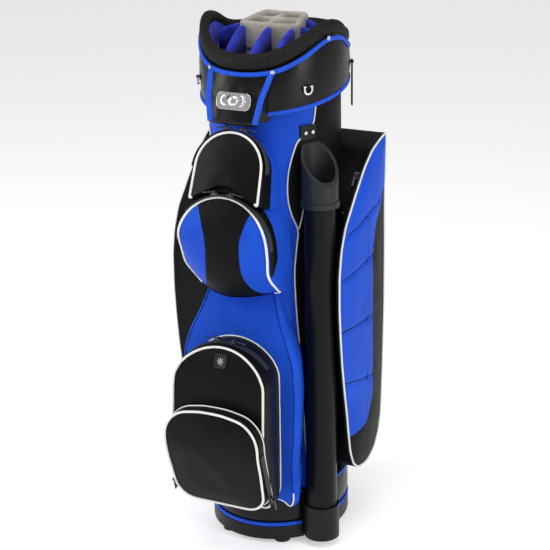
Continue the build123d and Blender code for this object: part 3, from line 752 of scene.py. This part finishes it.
# ---- black lower pocket
lower_side = through([(104, 195), (130, 203), (180, 219), (230, 235), (304, 234.5), (340, 231), (372, 224),
                      (402, 213)])
lower_front = by_height(lower_side)
LOWER_R, LOWER_ZC = 97.0, 302.0
LOWER_BACK = 160.0
PATCH_PLACE = (2.0, 378.0)


def lower_back(u, v):
    """Where the lower pocket's gusset meets the mesh pocket behind it."""
    return upright(u * 0.9, v, LOWER_BACK - 5)


def lower_loop():
    """Round head on nearly straight sides."""
    head = arc((0, LOWER_ZC), LOWER_R, -50, 50, 40)
    right = [(84, 346), (85, 320), (85, 200), (84, 130), (74, 110)]
    return smooth_loop(head + right + [(-u, v) for u, v in reversed(right)], 240, 6)


def build_lower(mats):
    """Black lower pocket with piping along its front and back edges."""
    loop = lower_loop()
    face = face_rings(loop, (0, 190, 320), lower_front, 0.5, upright, 18)
    panel = skin("lower_face", face, [mats["black_nylon"]], backed=False)
    keep(panel, "bag", ["lower_pocket"])
    sides = gusset_rings(loop, lower_front, upright, DEEP_GUSSET, lower_back)
    keep(skin("lower_gusset", sides, [mats["black_nylon"]], capped=False), "bag")
    keep(tube("lower_piping", piping_path(loop, lower_front, upright), PIPING, mats["piping"]), "bag")
    back = [upright(p.x * 0.93, p.y + (1.5 if p.y > 250 else 0), LOWER_BACK) for p in loop]
    keep(tube("lower_back_piping", back, THIN_PIPING, mats["piping"]), "bag")


def build_patch(mats):
    """Small moulded patch near the top of the lower pocket, with a raised mark of eight rays."""
    u0, v0 = PATCH_PLACE
    rings = []
    for half, out in ((11.5, -3.0), (11.5, 1.8), (10.8, 2.6), (9.6, 2.6), (9.0, 1.6)):
        corners = [(u0 + half * a, v0 + half * b) for a, b in ((-1, -1), (1, -1), (1, 1), (-1, 1))]
        rings.append([upright(p.x, p.y, lower_side(p.y) + out) for p in smooth_loop(corners, 64, 8)])
    keep(skin("lower_patch", rings, [mats["rubber"]]), "bag")
    for k in range(4):
        a = math.pi * k / 4
        ray = [(u0 + math.cos(a) * r, v0 + math.sin(a) * r) for r in (-6, -3, 0, 3, 6)]
        path = [upright(u, v, lower_side(v) + 1.8) for u, v in ray]
        keep(tube(f"lower_patch_ray_{k}", path, 0.9, mats["mark_grey"], False), "bag")


# ---- cooler pocket
cooler_side = through([(112, 226), (130, 231), (180, 246.5), (230, 261), (262, 263), (304, 261)])
cooler_front = by_height(cooler_side)


def cooler_ring(loop, depth):
    """The loop as a ring, depth behind the cooler's front."""
    return [upright(p.x, p.y, cooler_side(p.y) - depth) for p in loop]


def cooler_loop(inset):
    """Rounded front of the cooler, with a slightly arched top and wider corners above than below."""
    half, low, high = 90 - inset, 115 + inset, 301 - inset
    top, foot = 52 - inset, 38 - inset
    right = [(0, high), (half * 0.25, high - 0.6)]
    right += [(half - top + x, high - 4 - top + z) for x, z in arc((0, 0), top, 12, 90, 14)]
    right += [(half, 200)]
    right += [(half - 3 - foot + x, low + foot - z) for x, z in reversed(arc((0, 0), foot, 0, 90, 12))]
    loop = right + [(-u, v) for u, v in reversed(right[1:])]
    return smooth_loop(loop, 240, 5)


def build_cooler(mats):
    """Cooler pocket: its lid rides on the lid's own body, its hollow gusset on the bag."""
    loop = cooler_loop(2.6)
    face = face_rings(loop, (0, 170, 240), cooler_front, 6.0, upright)
    rim = [cooler_ring(loop, depth) for depth in (2.6, 1.6)]
    lid = skin("cooler_lid_panel", rim + face, [mats["black_nylon"]])
    keep(lid, "cooler_lid", ["cooler_lid"])
    path = piping_path(loop, cooler_front, upright)
    keep(tube("cooler_lid_piping", path, PIPING, mats["piping"]), "cooler_lid")
    rings = [cooler_ring(cooler_loop(3.4), depth) for depth in (24.0, 12.0, 3.6)]
    rings += [cooler_ring(cooler_loop(0.4), depth) for depth in (3.6, 7.0, 18.0, 26.4)]
    keep(skin("cooler_gusset", rings, [mats["black_nylon"]]), "bag", ["cooler_tub"])
    back = cooler_ring(cooler_loop(0.0), 20.5)
    keep(tube("cooler_back_piping", back, THIN_PIPING, mats["piping"]), "bag")


# ---- apparel pockets
APPAREL_LOOP = ((107, 708), (76, 700), (46, 690), (12, 666), (-27, 626), (-66, 583), (-82, 548), (-90, 505),
                (-90, 445), (-86, 395), (-80, 345), (-70, 290), (-61, 250), (-53, 205), (-45, 167),
                (-31, 138), (-13, 124), (10, 119), (34, 120), (62, 132), (80, 156), (91, 190), (98, 285),
                (103, 400), (103, 500), (101, 594), (104, 650))
QUILT_SEAMS = (((-66, 566), (50, 596)), ((-90, 492), (32, 510)), ((-90, 402), (30, 400)),
               ((-76, 306), (33, 286)))
TONE_LINE = ((196, -60), (200, -20), (212, 8), (238, 26), (309, 33), (405, 30), (487, 29), (542, 37),
             (573, 56), (608, 96), (640, 140))
tone_line = through(TONE_LINE)
QUILT_LOW = 205
SEAM_STEPS = 14
TUBE_REAR_Y, TUBE_INNER_X = -38.0, 97.0


def quilt_relief(u, v):
    """Sewn channels across the blue panel, with padding between them."""
    if u > tone_line(v) - 1 or v < QUILT_LOW:
        return 0.0
    dip = 0.0
    for (u0, v0), (u1, v1) in QUILT_SEAMS:
        level = v0 + (v1 - v0) * (u - u0) / (u1 - u0)
        dip -= 3.2 * math.exp(-((v - level) / 4.0) ** 2)
    return dip + 1.6


def behind_tube(x0, y, x1, t):
    """(x, y) at a share t of the way in, along a path that passes behind the putter tube."""
    stops = [(x0, y), (152.0, max(y, -58.0)), (140.0, max(y, -46.0)), (118.0, -41.0), (x1, -41.0)]
    at = t * (len(stops) - 1)
    i = min(int(at), len(stops) - 2)
    (xa, ya), (xb, yb) = stops[i], stops[i + 1]
    return xa + (xb - xa) * (at - i), ya + (yb - ya) * (at - i)


def apparel_gusset(loop, side):
    """Rings from the piping in to the body; on the putter side they pass behind the tube."""
    normals = outward(loop)
    rings = []
    for depth, out in ((0.6, 1.2), (3.0, 2.2)):
        rings.append([bag(side * (SIDE_X - depth), *(p + n * out)) for p, n in zip(loop, normals)])
    outer_x = SIDE_X - 5
    for t in (0.0, 0.15, 0.3, 0.45, 0.6, 0.8, 1.0):
        ring = []
        for p, n in zip(loop, normals):
            q = p + n * 1.6
            if side > 0 and q.x < TUBE_REAR_Y:
                x, y = behind_tube(outer_x, q.x, TUBE_INNER_X, t)
            else:
                x, y = outer_x + (body_x(q.x) - 3 - outer_x) * t, q.x
            ring.append(bag(side * x, y, q.y))
        rings.append(ring)
    return rings


def on_side(face, side, u, v):
    """Point where a level line from the side meets a built face."""
    _, spot, _, _ = face.ray_cast(bag(side * 2 * SIDE_X, u, v), Vector((-side, 0, 0)))
    return spot


def build_apparel(mats, side, word):
    """Tall side pocket with a quilted front panel, its seams sewn down with thread."""
    def place(u, v, w):
        return bag(side * w, u, v)

    def front(_u, _v):
        return SIDE_X

    loop = smooth_loop(APPAREL_LOOP, 320, 4)
    rings = face_rings(loop, (8, 210, 590), front, 10.0, place, 34, quilt_relief)
    face = skin(f"apparel_face_{word}", rings, [mats["apparel_two_tone"]])
    keep(face, "bag", [f"apparel_pocket_{word}"])
    bpy.context.view_layer.update()
    for i, (start, end) in enumerate(QUILT_SEAMS):
        seam = []
        for k in range(1, SEAM_STEPS):
            u, v = [a + (b - a) * k / SEAM_STEPS for a, b in zip(start, end)]
            seam.append(on_side(face, side, u, v))
        keep(tube(f"apparel_seam_{word}_{i}", seam, 0.8, mats["black_nylon"], False), "bag")
    gusset = skin(f"apparel_gusset_{word}", apparel_gusset(loop, side), [mats["black_nylon"]], capped=False)
    keep(gusset, "bag")
    path = [place(p.x, p.y, SIDE_X + 0.5) for p in loop]
    keep(tube(f"apparel_piping_{word}", path, THIN_PIPING + 0.4, mats["piping"]), "bag")


# ---- cuff
cuff_edge = through([(-150, 840), (-122, 848), (-90, 866), (-50, 888), (-22, 891), (6, 885), (40, 868),
                     (75, 862), (150, 863)])
CUFF_LOW_Z, CUFF_LOW_SLOPE = 799.7, 0.16
RIM_WIDTH, RIM_HEIGHT, RIM_RISE = 17.0, 26.0, 17.0
BAND_STEPS = 200


def cuff_low(y):
    """Height of the cuff's lower edge, which slopes up to the back."""
    return CUFF_LOW_Z + CUFF_LOW_SLOPE * y


def band(name, material, a, b, level, section, gap=None):
    """Band round an upright oval, of (outward, rise) pairs on level(y); gap is an open stretch in degrees."""
    start, end = (gap[1], gap[0] + 360) if gap else (0, 360)
    rings = []
    for k in range(BAND_STEPS + 1):
        t = math.radians(start + (end - start) * k / BAND_STEPS)
        ring = []
        for out, rise in section:
            x, y = (a + out) * math.sin(t), -(b + out) * math.cos(t)
            ring.append(bag(x, y, level(y) + rise))
        rings.append(ring)
    return skin(name, rings, [material], capped=bool(gap))


def round_section(width, height, out, rise, count=14, power=0.75):
    """Soft-cornered section: (outward, rise) pairs round a middle."""
    pairs = []
    for k in range(count):
        a = 2 * math.pi * k / count
        c, s = math.cos(a), math.sin(a)
        pairs.append((out + width / 2 * math.copysign(abs(c) ** power, c),
                      rise + height / 2 * math.copysign(abs(s) ** power, s)))
    return pairs


def build_cuff(mats):
    """Padded rim, vinyl cover and the two trims of the cuff."""
    section = round_section(RIM_WIDTH, RIM_HEIGHT, 1.2 - RIM_WIDTH / 2, RIM_RISE, 18, 0.8)
    pad = band("cuff_rim_pad", mats["rim_mesh"], CUFF_A, CUFF_B, cuff_edge, section)
    inflate(pad)
    keep(pad, "bag", ["cuff_pad"])
    rings, steps = [], 12
    for k in range(steps + 1):
        t = k / steps
        ring = []
        for i in range(260):
            a = 2 * math.pi * i / 260
            swell = 2.2 * math.sin(math.pi * t) ** 0.6 + 0.9 * noise.noise(Vector((a * 3.2, t * 2.2, 1.0)))
            x, y = (CUFF_A + swell) * math.sin(a), -(CUFF_B + swell) * math.cos(a)
            ring.append(bag(x, y, cuff_low(y) + (cuff_edge(y) - cuff_low(y)) * t))
        rings.append(ring)
    keep(skin("cuff_vinyl", rings, [mats["vinyl"]], capped=False), "bag", ["cuff_cover"])
    for word, level, section, replaced in (
            ("lower", cuff_low, round_section(4.2, 6.8, 0.6, 0), ["cuff_trims"]),
            ("upper", cuff_edge, round_section(4.6, 7.4, 0.8, 0), ())):
        trim = band(f"cuff_trim_{word}", mats["webbing"], CUFF_A, CUFF_B, level, section)
        keep(trim, "bag", replaced)


TONGUE_TOP, TONGUE_LOW = (-139.5, 846.0), (-161.0, 768.0)
TONGUE_TOP_X, TONGUE_LOW_X = 57.0, 42.0


def tongue_point(u, t, out=0.0):
    """Point on the tongue: u from -1 to 1 across, t from 0 at its top to 1 at its foot."""
    half = TONGUE_TOP_X + (TONGUE_LOW_X - TONGUE_TOP_X) * t
    x = u * half
    z = TONGUE_TOP[1] + (TONGUE_LOW[1] - TONGUE_TOP[1]) * t
    y = TONGUE_TOP[0] + (TONGUE_LOW[0] - TONGUE_TOP[0]) * t
    wall = -(CUFF_B + 1.5) * math.sqrt(max(0.0, 1 - (x / (CUFF_A + 1.5)) ** 2))
    ease = min(1.0, t * 2.2)
    y = wall * (1 - ease) + (y + 5.0 * u * u) * ease
    return bag(x, y - out, z)


def build_tongue(mats):
    """Vinyl tongue with its folded lip, closed cheeks and two webbing straps."""
    across = [-1 + 2 * i / 40 for i in range(41)]
    rings = []
    for k in range(17):
        t = k / 16
        ring = []
        for i, u in enumerate(across):
            out = 2.0 * math.sin(math.pi * t) + 0.8 * noise.noise(Vector((i * 0.16, t * 3, 2.0)))
            ring.append(tongue_point(u, t, out))
        rings.append(ring)
    lip = [tongue_point(u, 1.0, -3.0) - Vector((0, 0, 4 * MM)) for u in across]
    under = [bag(u * 40, -128, 779) for u in across]
    tongue = skin("tongue_vinyl", rings + [lip, under], [mats["vinyl"]], closed=False, capped=False)
    keep(tongue, "bag", ["front_tongue"])
    for side, word in SIDES:
        edge = [tongue_point(side, k / 16, 1.0) for k in range(17)]
        wall = [bag(side * 50, body_y(side * 50, 13.0) + 4, p.z / MM) for p in edge]
        cheek = skin(f"tongue_cheek_{word}", [edge, wall], [mats["vinyl"]], closed=False, capped=False)
        keep(cheek, "bag")
        path = [tongue_point(side * 0.96, k / 24, 1.6 + 1.2 * math.sin(math.pi * k / 24)) for k in range(25)]
        strap = strap_along(f"tongue_strap_{word}", path, Vector((1, 0, 0)), 10.5, 2.2, mats["webbing"])
        keep(strap, "bag", ["tongue_straps"])


def strap_along(name, path, across, width, thick, material):
    """Flat webbing with soft edges along frame points; across is its level direction."""
    section = round_section(width, thick, 0, 0, 12, 0.5)
    rings = []
    for i, p in enumerate(path):
        along = (path[min(i + 1, len(path) - 1)] - path[max(i - 1, 0)]).normalized()
        out = along.cross(across).normalized()
        side = out.cross(along).normalized()
        rings.append([p + side * a * MM + out * b * MM for a, b in section])
    return skin(name, rings, [material])


def build_badge(mats):
    """Bright relief on the plate: a dimpled ball with two curved ridges beside it."""
    middle = tongue_point(0, 0.54, 4.2)
    up = (tongue_point(0, 0.4, 4) - tongue_point(0, 0.7, 4)).normalized()
    out = Vector((1, 0, 0)).cross(up)
    turn = Matrix((Vector((1, 0, 0)), up, -out)).transposed().to_4x4()
    bpy.ops.mesh.primitive_uv_sphere_add(segments=40, ring_count=20, radius=8.5 * MM)
    ball = bpy.context.object
    ball.name = ball.data.name = "badge_ball"
    for v in ball.data.vertices:
        dent = max(0.0, noise.cell(v.co * 520) - 0.6) * 0.6 * MM
        v.co = v.co.normalized() * (v.co.length - dent)
    ball.data.transform(Matrix.Translation(middle) @ turn @ Matrix.Diagonal((1, 1, 0.45, 1)))
    smooth_faces(ball.data)
    ball.data.materials.append(mats["bright_metal"])
    keep(ball, "bag")
    for side, word in SIDES:
        path = []
        for k in range(13):
            a = math.radians(-60 + 10 * k)
            across = Vector((side, 0, 0)) * (8 + 12 * math.cos(a)) * MM
            path.append(middle + across + up * 10 * math.sin(a) * MM)
        keep(tube(f"badge_ridge_{word}", path, 1.5, mats["bright_metal"], False), "bag")


# ---- soft copies of CAD pieces
PAD_VOXEL, PAD_SWELL, PAD_PRESSURE, PAD_FRAMES = 4.0, 2.0, 4.0, 20


def puffed_mesh(piece, voxel, rounds):
    """The piece's mesh, remeshed in voxels and smoothed."""
    remesh = piece.modifiers.new("remesh", "REMESH")
    remesh.mode = "VOXEL"
    remesh.voxel_size = voxel * MM
    remesh.use_smooth_shade = True
    smooth = piece.modifiers.new("smooth", "SMOOTH")
    smooth.iterations = rounds
    smooth.factor = 0.5
    bpy.context.view_layer.update()
    mesh = bpy.data.meshes.new_from_object(piece.evaluated_get(bpy.context.evaluated_depsgraph_get()))
    piece.modifiers.clear()
    return mesh


def inflate(piece):
    scene = bpy.context.scene
    rest = puffed_mesh(piece, PAD_VOXEL, 4)
    piece.data = rest
    start = [v.co.copy() for v in rest.vertices]
    cloth = piece.modifiers.new("cloth", "CLOTH")
    cloth.settings.use_pressure = True
    cloth.settings.uniform_pressure_force = PAD_PRESSURE
    cloth.settings.effector_weights.gravity = 0.0
    for frame_number in range(1, PAD_FRAMES + 1):
        scene.frame_set(frame_number)
    filled = piece.evaluated_get(bpy.context.evaluated_depsgraph_get()).data
    ends = [v.co.copy() for v in filled.vertices]
    piece.modifiers.clear()
    scene.frame_set(1)
    for v, a, b in zip(rest.vertices, start, ends):
        move = b - a
        v.co = a + move * min(1.0, PAD_SWELL * MM / max(move.length, MM * 0.001))


def soft_copy(name, node, material, voxel, swell, wrinkle, rounds):
    """Rounded, slightly puffed copy of a CAD piece: remeshed, smoothed and pushed out along its normals."""
    piece = placed(name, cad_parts[node].data.copy())
    final = puffed_mesh(piece, voxel, rounds)
    piece.data = final
    final.name = name
    normals = [v.normal.copy() for v in final.vertices]
    for v, normal in zip(final.vertices, normals):
        push = swell + wrinkle * noise.noise(v.co * 38)
        v.co += normal * push * MM
    one_material(final, material)
    smooth_faces(final)
    return piece


# ---- body tube
BODY_LINE = ((90, -70), (200, -76), (343, -82), (430, -87), (500, -89), (545, -86), (574, -84), (600, -92),
             (625, -97), (655, -98), (681, -96), (710, -90), (730, -82), (748, -60), (782, -52), (840, -44))
body_line = through(BODY_LINE)
LENS_LOW, LENS_HIGH, LENS_STAND = 574.0, 748.0, 3.0
CLOTH_LOW, CLOTH_HIGH, CLOTH_OUT, CLOTH_IN = 97.0, 832.0, 0.6, -2.6
BODY_PIPING_LOW, BODY_PIPING_HIGH = 100.0, 800.0


def lens_rise(y, z):
    """How far the slim side pocket stands off the body tube."""
    behind = y - body_line(z)
    if not LENS_LOW < z < LENS_HIGH or abs(behind - 24) > 30:
        return 0.0
    along = math.sin(math.pi * (z - LENS_LOW) / (LENS_HIGH - LENS_LOW)) ** 0.5
    fore_edge = min(1.0, max(0.0, behind + 2) / 4)
    rear_edge = min(1.0, (54 - behind) / 12)
    return LENS_STAND * along * fore_edge * rear_edge


def cloth_ring(z, out, ripple):
    """Ring round the body tube, out beyond it, with the side pockets and ripples where ripple is 1."""
    ring = []
    for i in range(300):
        a = 2 * math.pi * i / 300
        x, y = BODY_A * math.sin(a), -BODY_B * math.cos(a)
        lift = out + (0.9 * noise.noise(Vector((a * 2.6, z * 0.02, 4.0))) + lens_rise(y, z)) * ripple
        ring.append(bag(x * (1 + lift / BODY_A), y * (1 + lift / BODY_B), z))
    return ring


def build_body(mats):
    """Cloth skin of the body tube, drawn over the shell from the base to the cuff, and its piping."""
    heights = [CLOTH_LOW + (CLOTH_HIGH - CLOTH_LOW) * k / 90 for k in range(91)]
    rings = [cloth_ring(z, CLOTH_OUT, 1) for z in heights]
    rings += [cloth_ring(z, CLOTH_IN, 0) for z in reversed(heights)]
    rings.append(rings[0])
    cloth = skin("body_cloth", rings, [mats["body_two_tone"]], capped=False)
    keep(cloth, "bag", ["body_shell", "lens_pockets"])
    for side, word in SIDES:
        path = []
        for k in range(120):
            z = BODY_PIPING_LOW + (BODY_PIPING_HIGH - BODY_PIPING_LOW) * k / 119
            y = body_line(z)
            path.append(bag(side * body_x(y, 1.2 + lens_rise(y, z)), y, z))
        keep(tube(f"body_piping_{word}", path, THIN_PIPING, mats["piping"], False), "bag")
        rear = []
        for k in range(40):
            z = LENS_LOW + 4 + 61 * k / 39
            y = body_line(LENS_LOW) + 7 * math.sin(0.5 * math.pi * k / 39)
            rear.append(bag(side * body_x(y, 2.0 + lens_rise(y, z)), y, z))
        keep(tube(f"lens_piping_{word}", rear, THIN_PIPING * 0.8, mats["piping"], False), "bag")


# ---- base
SLEEVE_A, SLEEVE_B = 116.0, 130.0
TUBE_GAP = (46, 73)
BASE_TRIM_LOW, BASE_TRIM_HIGH = 36.8, 98.6


def base_band(name, material, level, section):
    """Band round the base at one height, open where the putter tube stands."""
    return band(name, material, SLEEVE_A, SLEEVE_B, lambda _: level, section, TUBE_GAP)


def build_base(mats):
    """Vinyl wrap of the base between its two webbing trims."""
    wrap = [(1.0, 41), (2.6, 44), (3.8, 56), (4.0, 68), (3.6, 82), (2.6, 93), (1.0, 96), (0.6, 70)]
    keep(base_band("base_wrap_vinyl", mats["vinyl"], 0, wrap), "bag", ["base_wrap"])
    for word, level, section, replaced in (
            ("low", BASE_TRIM_LOW, round_section(4.4, 7, 2.6, 0), ["base_trims"]),
            ("high", BASE_TRIM_HIGH, round_section(4.4, 5.6, 2.4, 0), ())):
        trim = base_band(f"base_trim_{word}", mats["webbing"], level, section)
        keep(trim, "bag", replaced)


# ---- club divider and lining
BLOCK_FRONT, BLOCK_BACK = -28.0, 47.0
SPOKES = ([(x, BLOCK_FRONT, 0, -1) for x in (-44, 4, 46)] + [(x, BLOCK_BACK, 0, 1) for x in (-30, 0, 30)]
          + [(53, -8, 1, 0), (45, 28, 1, 0), (-53, -8, -1, 0), (-45, 28, -1, 0)])
SPOKE_TOP_FRONT, SPOKE_TOP_BACK, SPOKE_LOW = 902, 908, 856
SPOKE_HALF, SPOKE_ROUND = 5.6, 7


def spoke_end(x, y, dx, dy):
    """Where a spoke from (x, y) meets the lining."""
    a, b = BODY_A - 9.0, BODY_B - 9.0
    if dx:
        return math.copysign(a * math.sqrt(1 - (y / b) ** 2), dx), y
    return x, math.copysign(b * math.sqrt(1 - (x / a) ** 2), dy)


def build_spoke(mats, index, x, y, dx, dy):
    """Velour wall that sags from the block down to the lining, with a soft rounded top."""
    end_x, end_y = spoke_end(x, y, dx, dy)
    start_z = SPOKE_TOP_FRONT if y < 0 else SPOKE_TOP_BACK
    end_z = cuff_edge(end_y) - 2
    rings = []
    for k in range(15):
        t = k / 14
        cx, cy = x + (end_x - x) * t, y + (end_y - y) * t
        top = start_z + (end_z - start_z) * t ** 1.7 + 1.6 * noise.noise(Vector((t * 3, index, 0)))
        swell = SPOKE_HALF + 1.6 * noise.noise(Vector((t * 2.5, index, 7.0)))
        ring = []
        for j in range(17):
            a = math.pi * j / 16
            across, fall = -math.cos(a) * swell, (1 - math.sin(a)) * SPOKE_ROUND
            ring.append(bag(cx + across * abs(dy), cy + across * abs(dx), top - fall))
        for across in (4.4, -4.4):
            ring.append(bag(cx + across * abs(dy), cy + across * abs(dx), SPOKE_LOW))
        rings.append(ring)
    return skin(f"divider_spoke_{index}", rings, [mats["blue_velour"]])


def build_divider(mats):
    """Grey divider block, its blue spokes and the cuff's lining."""
    top = soft_copy("divider_cushion", "divider_top", mats["grey_velour"], 2.2, 0.8, 1.2, 7)
    keep(top, "bag", ["divider_top"])
    for index, spoke in enumerate(SPOKES):
        keep(build_spoke(mats, index, *spoke), "bag", ["divider_walls"])
    lining = soft_copy("cuff_velour", "cuff_lining", mats["blue_velour"], 1.6, 0.0, 0.5, 2)
    keep(lining, "bag", ["cuff_lining"])


def build_back(mats):
    """Spine pad, shoulder strap and the side ring's webbing loop."""
    spine = soft_copy("back_cushion", "back_panel", mats["rim_mesh"], 2.4, 0.4, 1.0, 6)
    inflate(spine)
    keep(spine, "bag", ["back_panel"])
    strap = soft_copy("strap_padding", "shoulder_strap", mats["black_nylon"], 1.6, 0.3, 0.5, 5)
    keep(strap, "bag", ["shoulder_strap"])
    loop = soft_copy("loop_webbing", "accessory_loop", mats["black_webbing"], 1.0, 0, 0, 2)
    keep(loop, "side_ring", ["accessory_loop"])


# ---- materials by use
def make_materials():
    """Every material, by the name that the builders call it."""
    return {
        "black_nylon": black_nylon(), "blue_mesh": blue_mesh(), "vinyl": black_vinyl(),
        "webbing": webbing("blue_webbing", (0.013, 0.085, 0.62), (0.003, 0.02, 0.22)),
        "black_webbing": webbing("black_webbing", (0.03, 0.03, 0.03), (0.008, 0.008, 0.008)),
        "grey_velour": velour("grey_velour", (0.24, 0.225, 0.20), (0.42, 0.40, 0.36)),
        "blue_velour": velour("blue_velour", (0.007, 0.011, 0.2), (0.028, 0.05, 0.62)),
        "rim_mesh": rim_mesh(), "piping": piping_white(),
        "bright_metal": bright_metal(), "dark_metal": dark_metal(), "zip_tape": zip_tape(),
        "tub": moulded("moulded_black", (0.005, 0.005, 0.005), 0.4),
        "collar": moulded("collar_rubber", (0.016, 0.017, 0.019), 0.45, 1.2),
        "rubber": moulded("foot_rubber", (0.012, 0.012, 0.012), 0.55),
        "mark_grey": moulded("grey_rubber", (0.25, 0.25, 0.25), 0.5), "tube": satin_tube(),
        "mid_two_tone": two_tone("mid_two_tone", mid_share),
        "apparel_two_tone": two_tone("apparel_two_tone", ahead_of(TONE_LINE)),
        "body_two_tone": two_tone("body_two_tone", ahead_of(BODY_LINE)),
    }


def dress_frame(mats):
    """Materials of the CAD pieces that stay visible."""
    looks = {"base_tub": "tub", "base_feet": "rubber", "cuff_core": "tub", "rivets": "bright_metal",
             "badge_plate": "bright_metal", "ring_lugs": "tub", "strap_rings": "dark_metal",
             "divider_panels": "grey_velour", "putter_foot_cup": "tub", "putter_sleeve": "tube",
             "putter_collar": "collar", "collar_bracket": "tub", "zipper_tapes": "zip_tape",
             "towel_ring_right": "bright_metal", "towel_ring_left": "bright_metal", "side_ring": "dark_metal"}
    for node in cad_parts:
        if "_slider_" in node or "_pull_" in node:
            looks[node] = "dark_metal"
    for node, look in looks.items():
        one_material(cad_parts[node].data, mats[look])


# ---- studio
def area_light(name, place, target, width, height, power):
    """Rectangular soft box that faces its target."""
    data = bpy.data.lights.new(name, "AREA")
    data.shape, data.size, data.size_y, data.energy = "RECTANGLE", width, height, power
    lamp = placed(name, data)
    lamp.location = place
    lamp.rotation_mode = "QUATERNION"
    lamp.rotation_quaternion = (Vector(target) - Vector(place)).to_track_quat("-Z", "Y")


def build_studio():
    """White floor, soft boxes and an even sky."""
    bpy.ops.mesh.primitive_plane_add(size=12, location=(0, 0, 0))
    floor = bpy.context.object
    floor.name = "studio_floor"
    paper = bpy.data.materials.new("studio_paper")
    paper.use_nodes = True
    shader = paper.node_tree.nodes["Principled BSDF"]
    for name, value in (("Base Color", (0.86, 0.86, 0.86, 1)), ("Roughness", 0.9),
                        ("Emission Color", (1, 1, 1, 1)), ("Emission Strength", 0.42)):
        shader.inputs[name].default_value = value
    floor.data.materials.append(paper)
    floor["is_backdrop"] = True
    world = bpy.data.worlds.new("studio_sky")
    world.use_nodes = True
    world.node_tree.nodes["Background"].inputs["Color"].default_value = (1, 1, 1, 1)
    world.node_tree.nodes["Background"].inputs["Strength"].default_value = 0.40
    bpy.context.scene.world = world
    middle = (0, 0, 0.5)
    area_light("left_box", (-2.2, -1.6, 1.5), middle, 0.8, 2.2, 46)
    area_light("right_box", (2.4, -0.6, 1.3), middle, 0.4, 2.2, 30)
    area_light("top_box", (0.3, -0.8, 3.0), middle, 2.0, 1.4, 34)
    bpy.context.scene.view_settings.view_transform = "Standard"


CAMERA_PLACE = Vector((1.1963, -2.3504, 1.3902))
CAMERA_AIM = Vector((-0.42243, 0.84508, -0.32769))
CAMERA_ROLL = math.radians(-0.8727)
CAMERA_LENS = 105.89


def build_camera():
    """Camera of the photograph."""
    data = bpy.data.cameras.new("camera")
    data.lens, data.sensor_width = CAMERA_LENS, 36.0
    camera = placed("camera", data)
    level = CAMERA_AIM.cross(Vector((0, 0, 1))).normalized()
    steep = level.cross(CAMERA_AIM)
    right = level * math.cos(CAMERA_ROLL) + steep * math.sin(CAMERA_ROLL)
    up = steep * math.cos(CAMERA_ROLL) - level * math.sin(CAMERA_ROLL)
    turn = Matrix((right, up, -CAMERA_AIM)).transposed().to_4x4()
    camera.matrix_world = Matrix.Translation(CAMERA_PLACE) @ turn
    bpy.context.scene.camera = camera


# ---- put together
materials = make_materials()
dress_frame(materials)
build_body(materials)
build_base(materials)
build_cuff(materials)
build_tongue(materials)
build_badge(materials)
build_divider(materials)
build_valuables(materials)
build_mid(materials)
build_mesh_pocket(materials)
build_lower(materials)
build_patch(materials)
build_cooler(materials)
build_apparel(materials, 1, "right")
build_apparel(materials, -1, "left")
build_back(materials)
build_studio()
build_camera()

visual_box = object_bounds()
sizes = [[list(corner) for corner in box] for box in (cad_box, visual_box)]
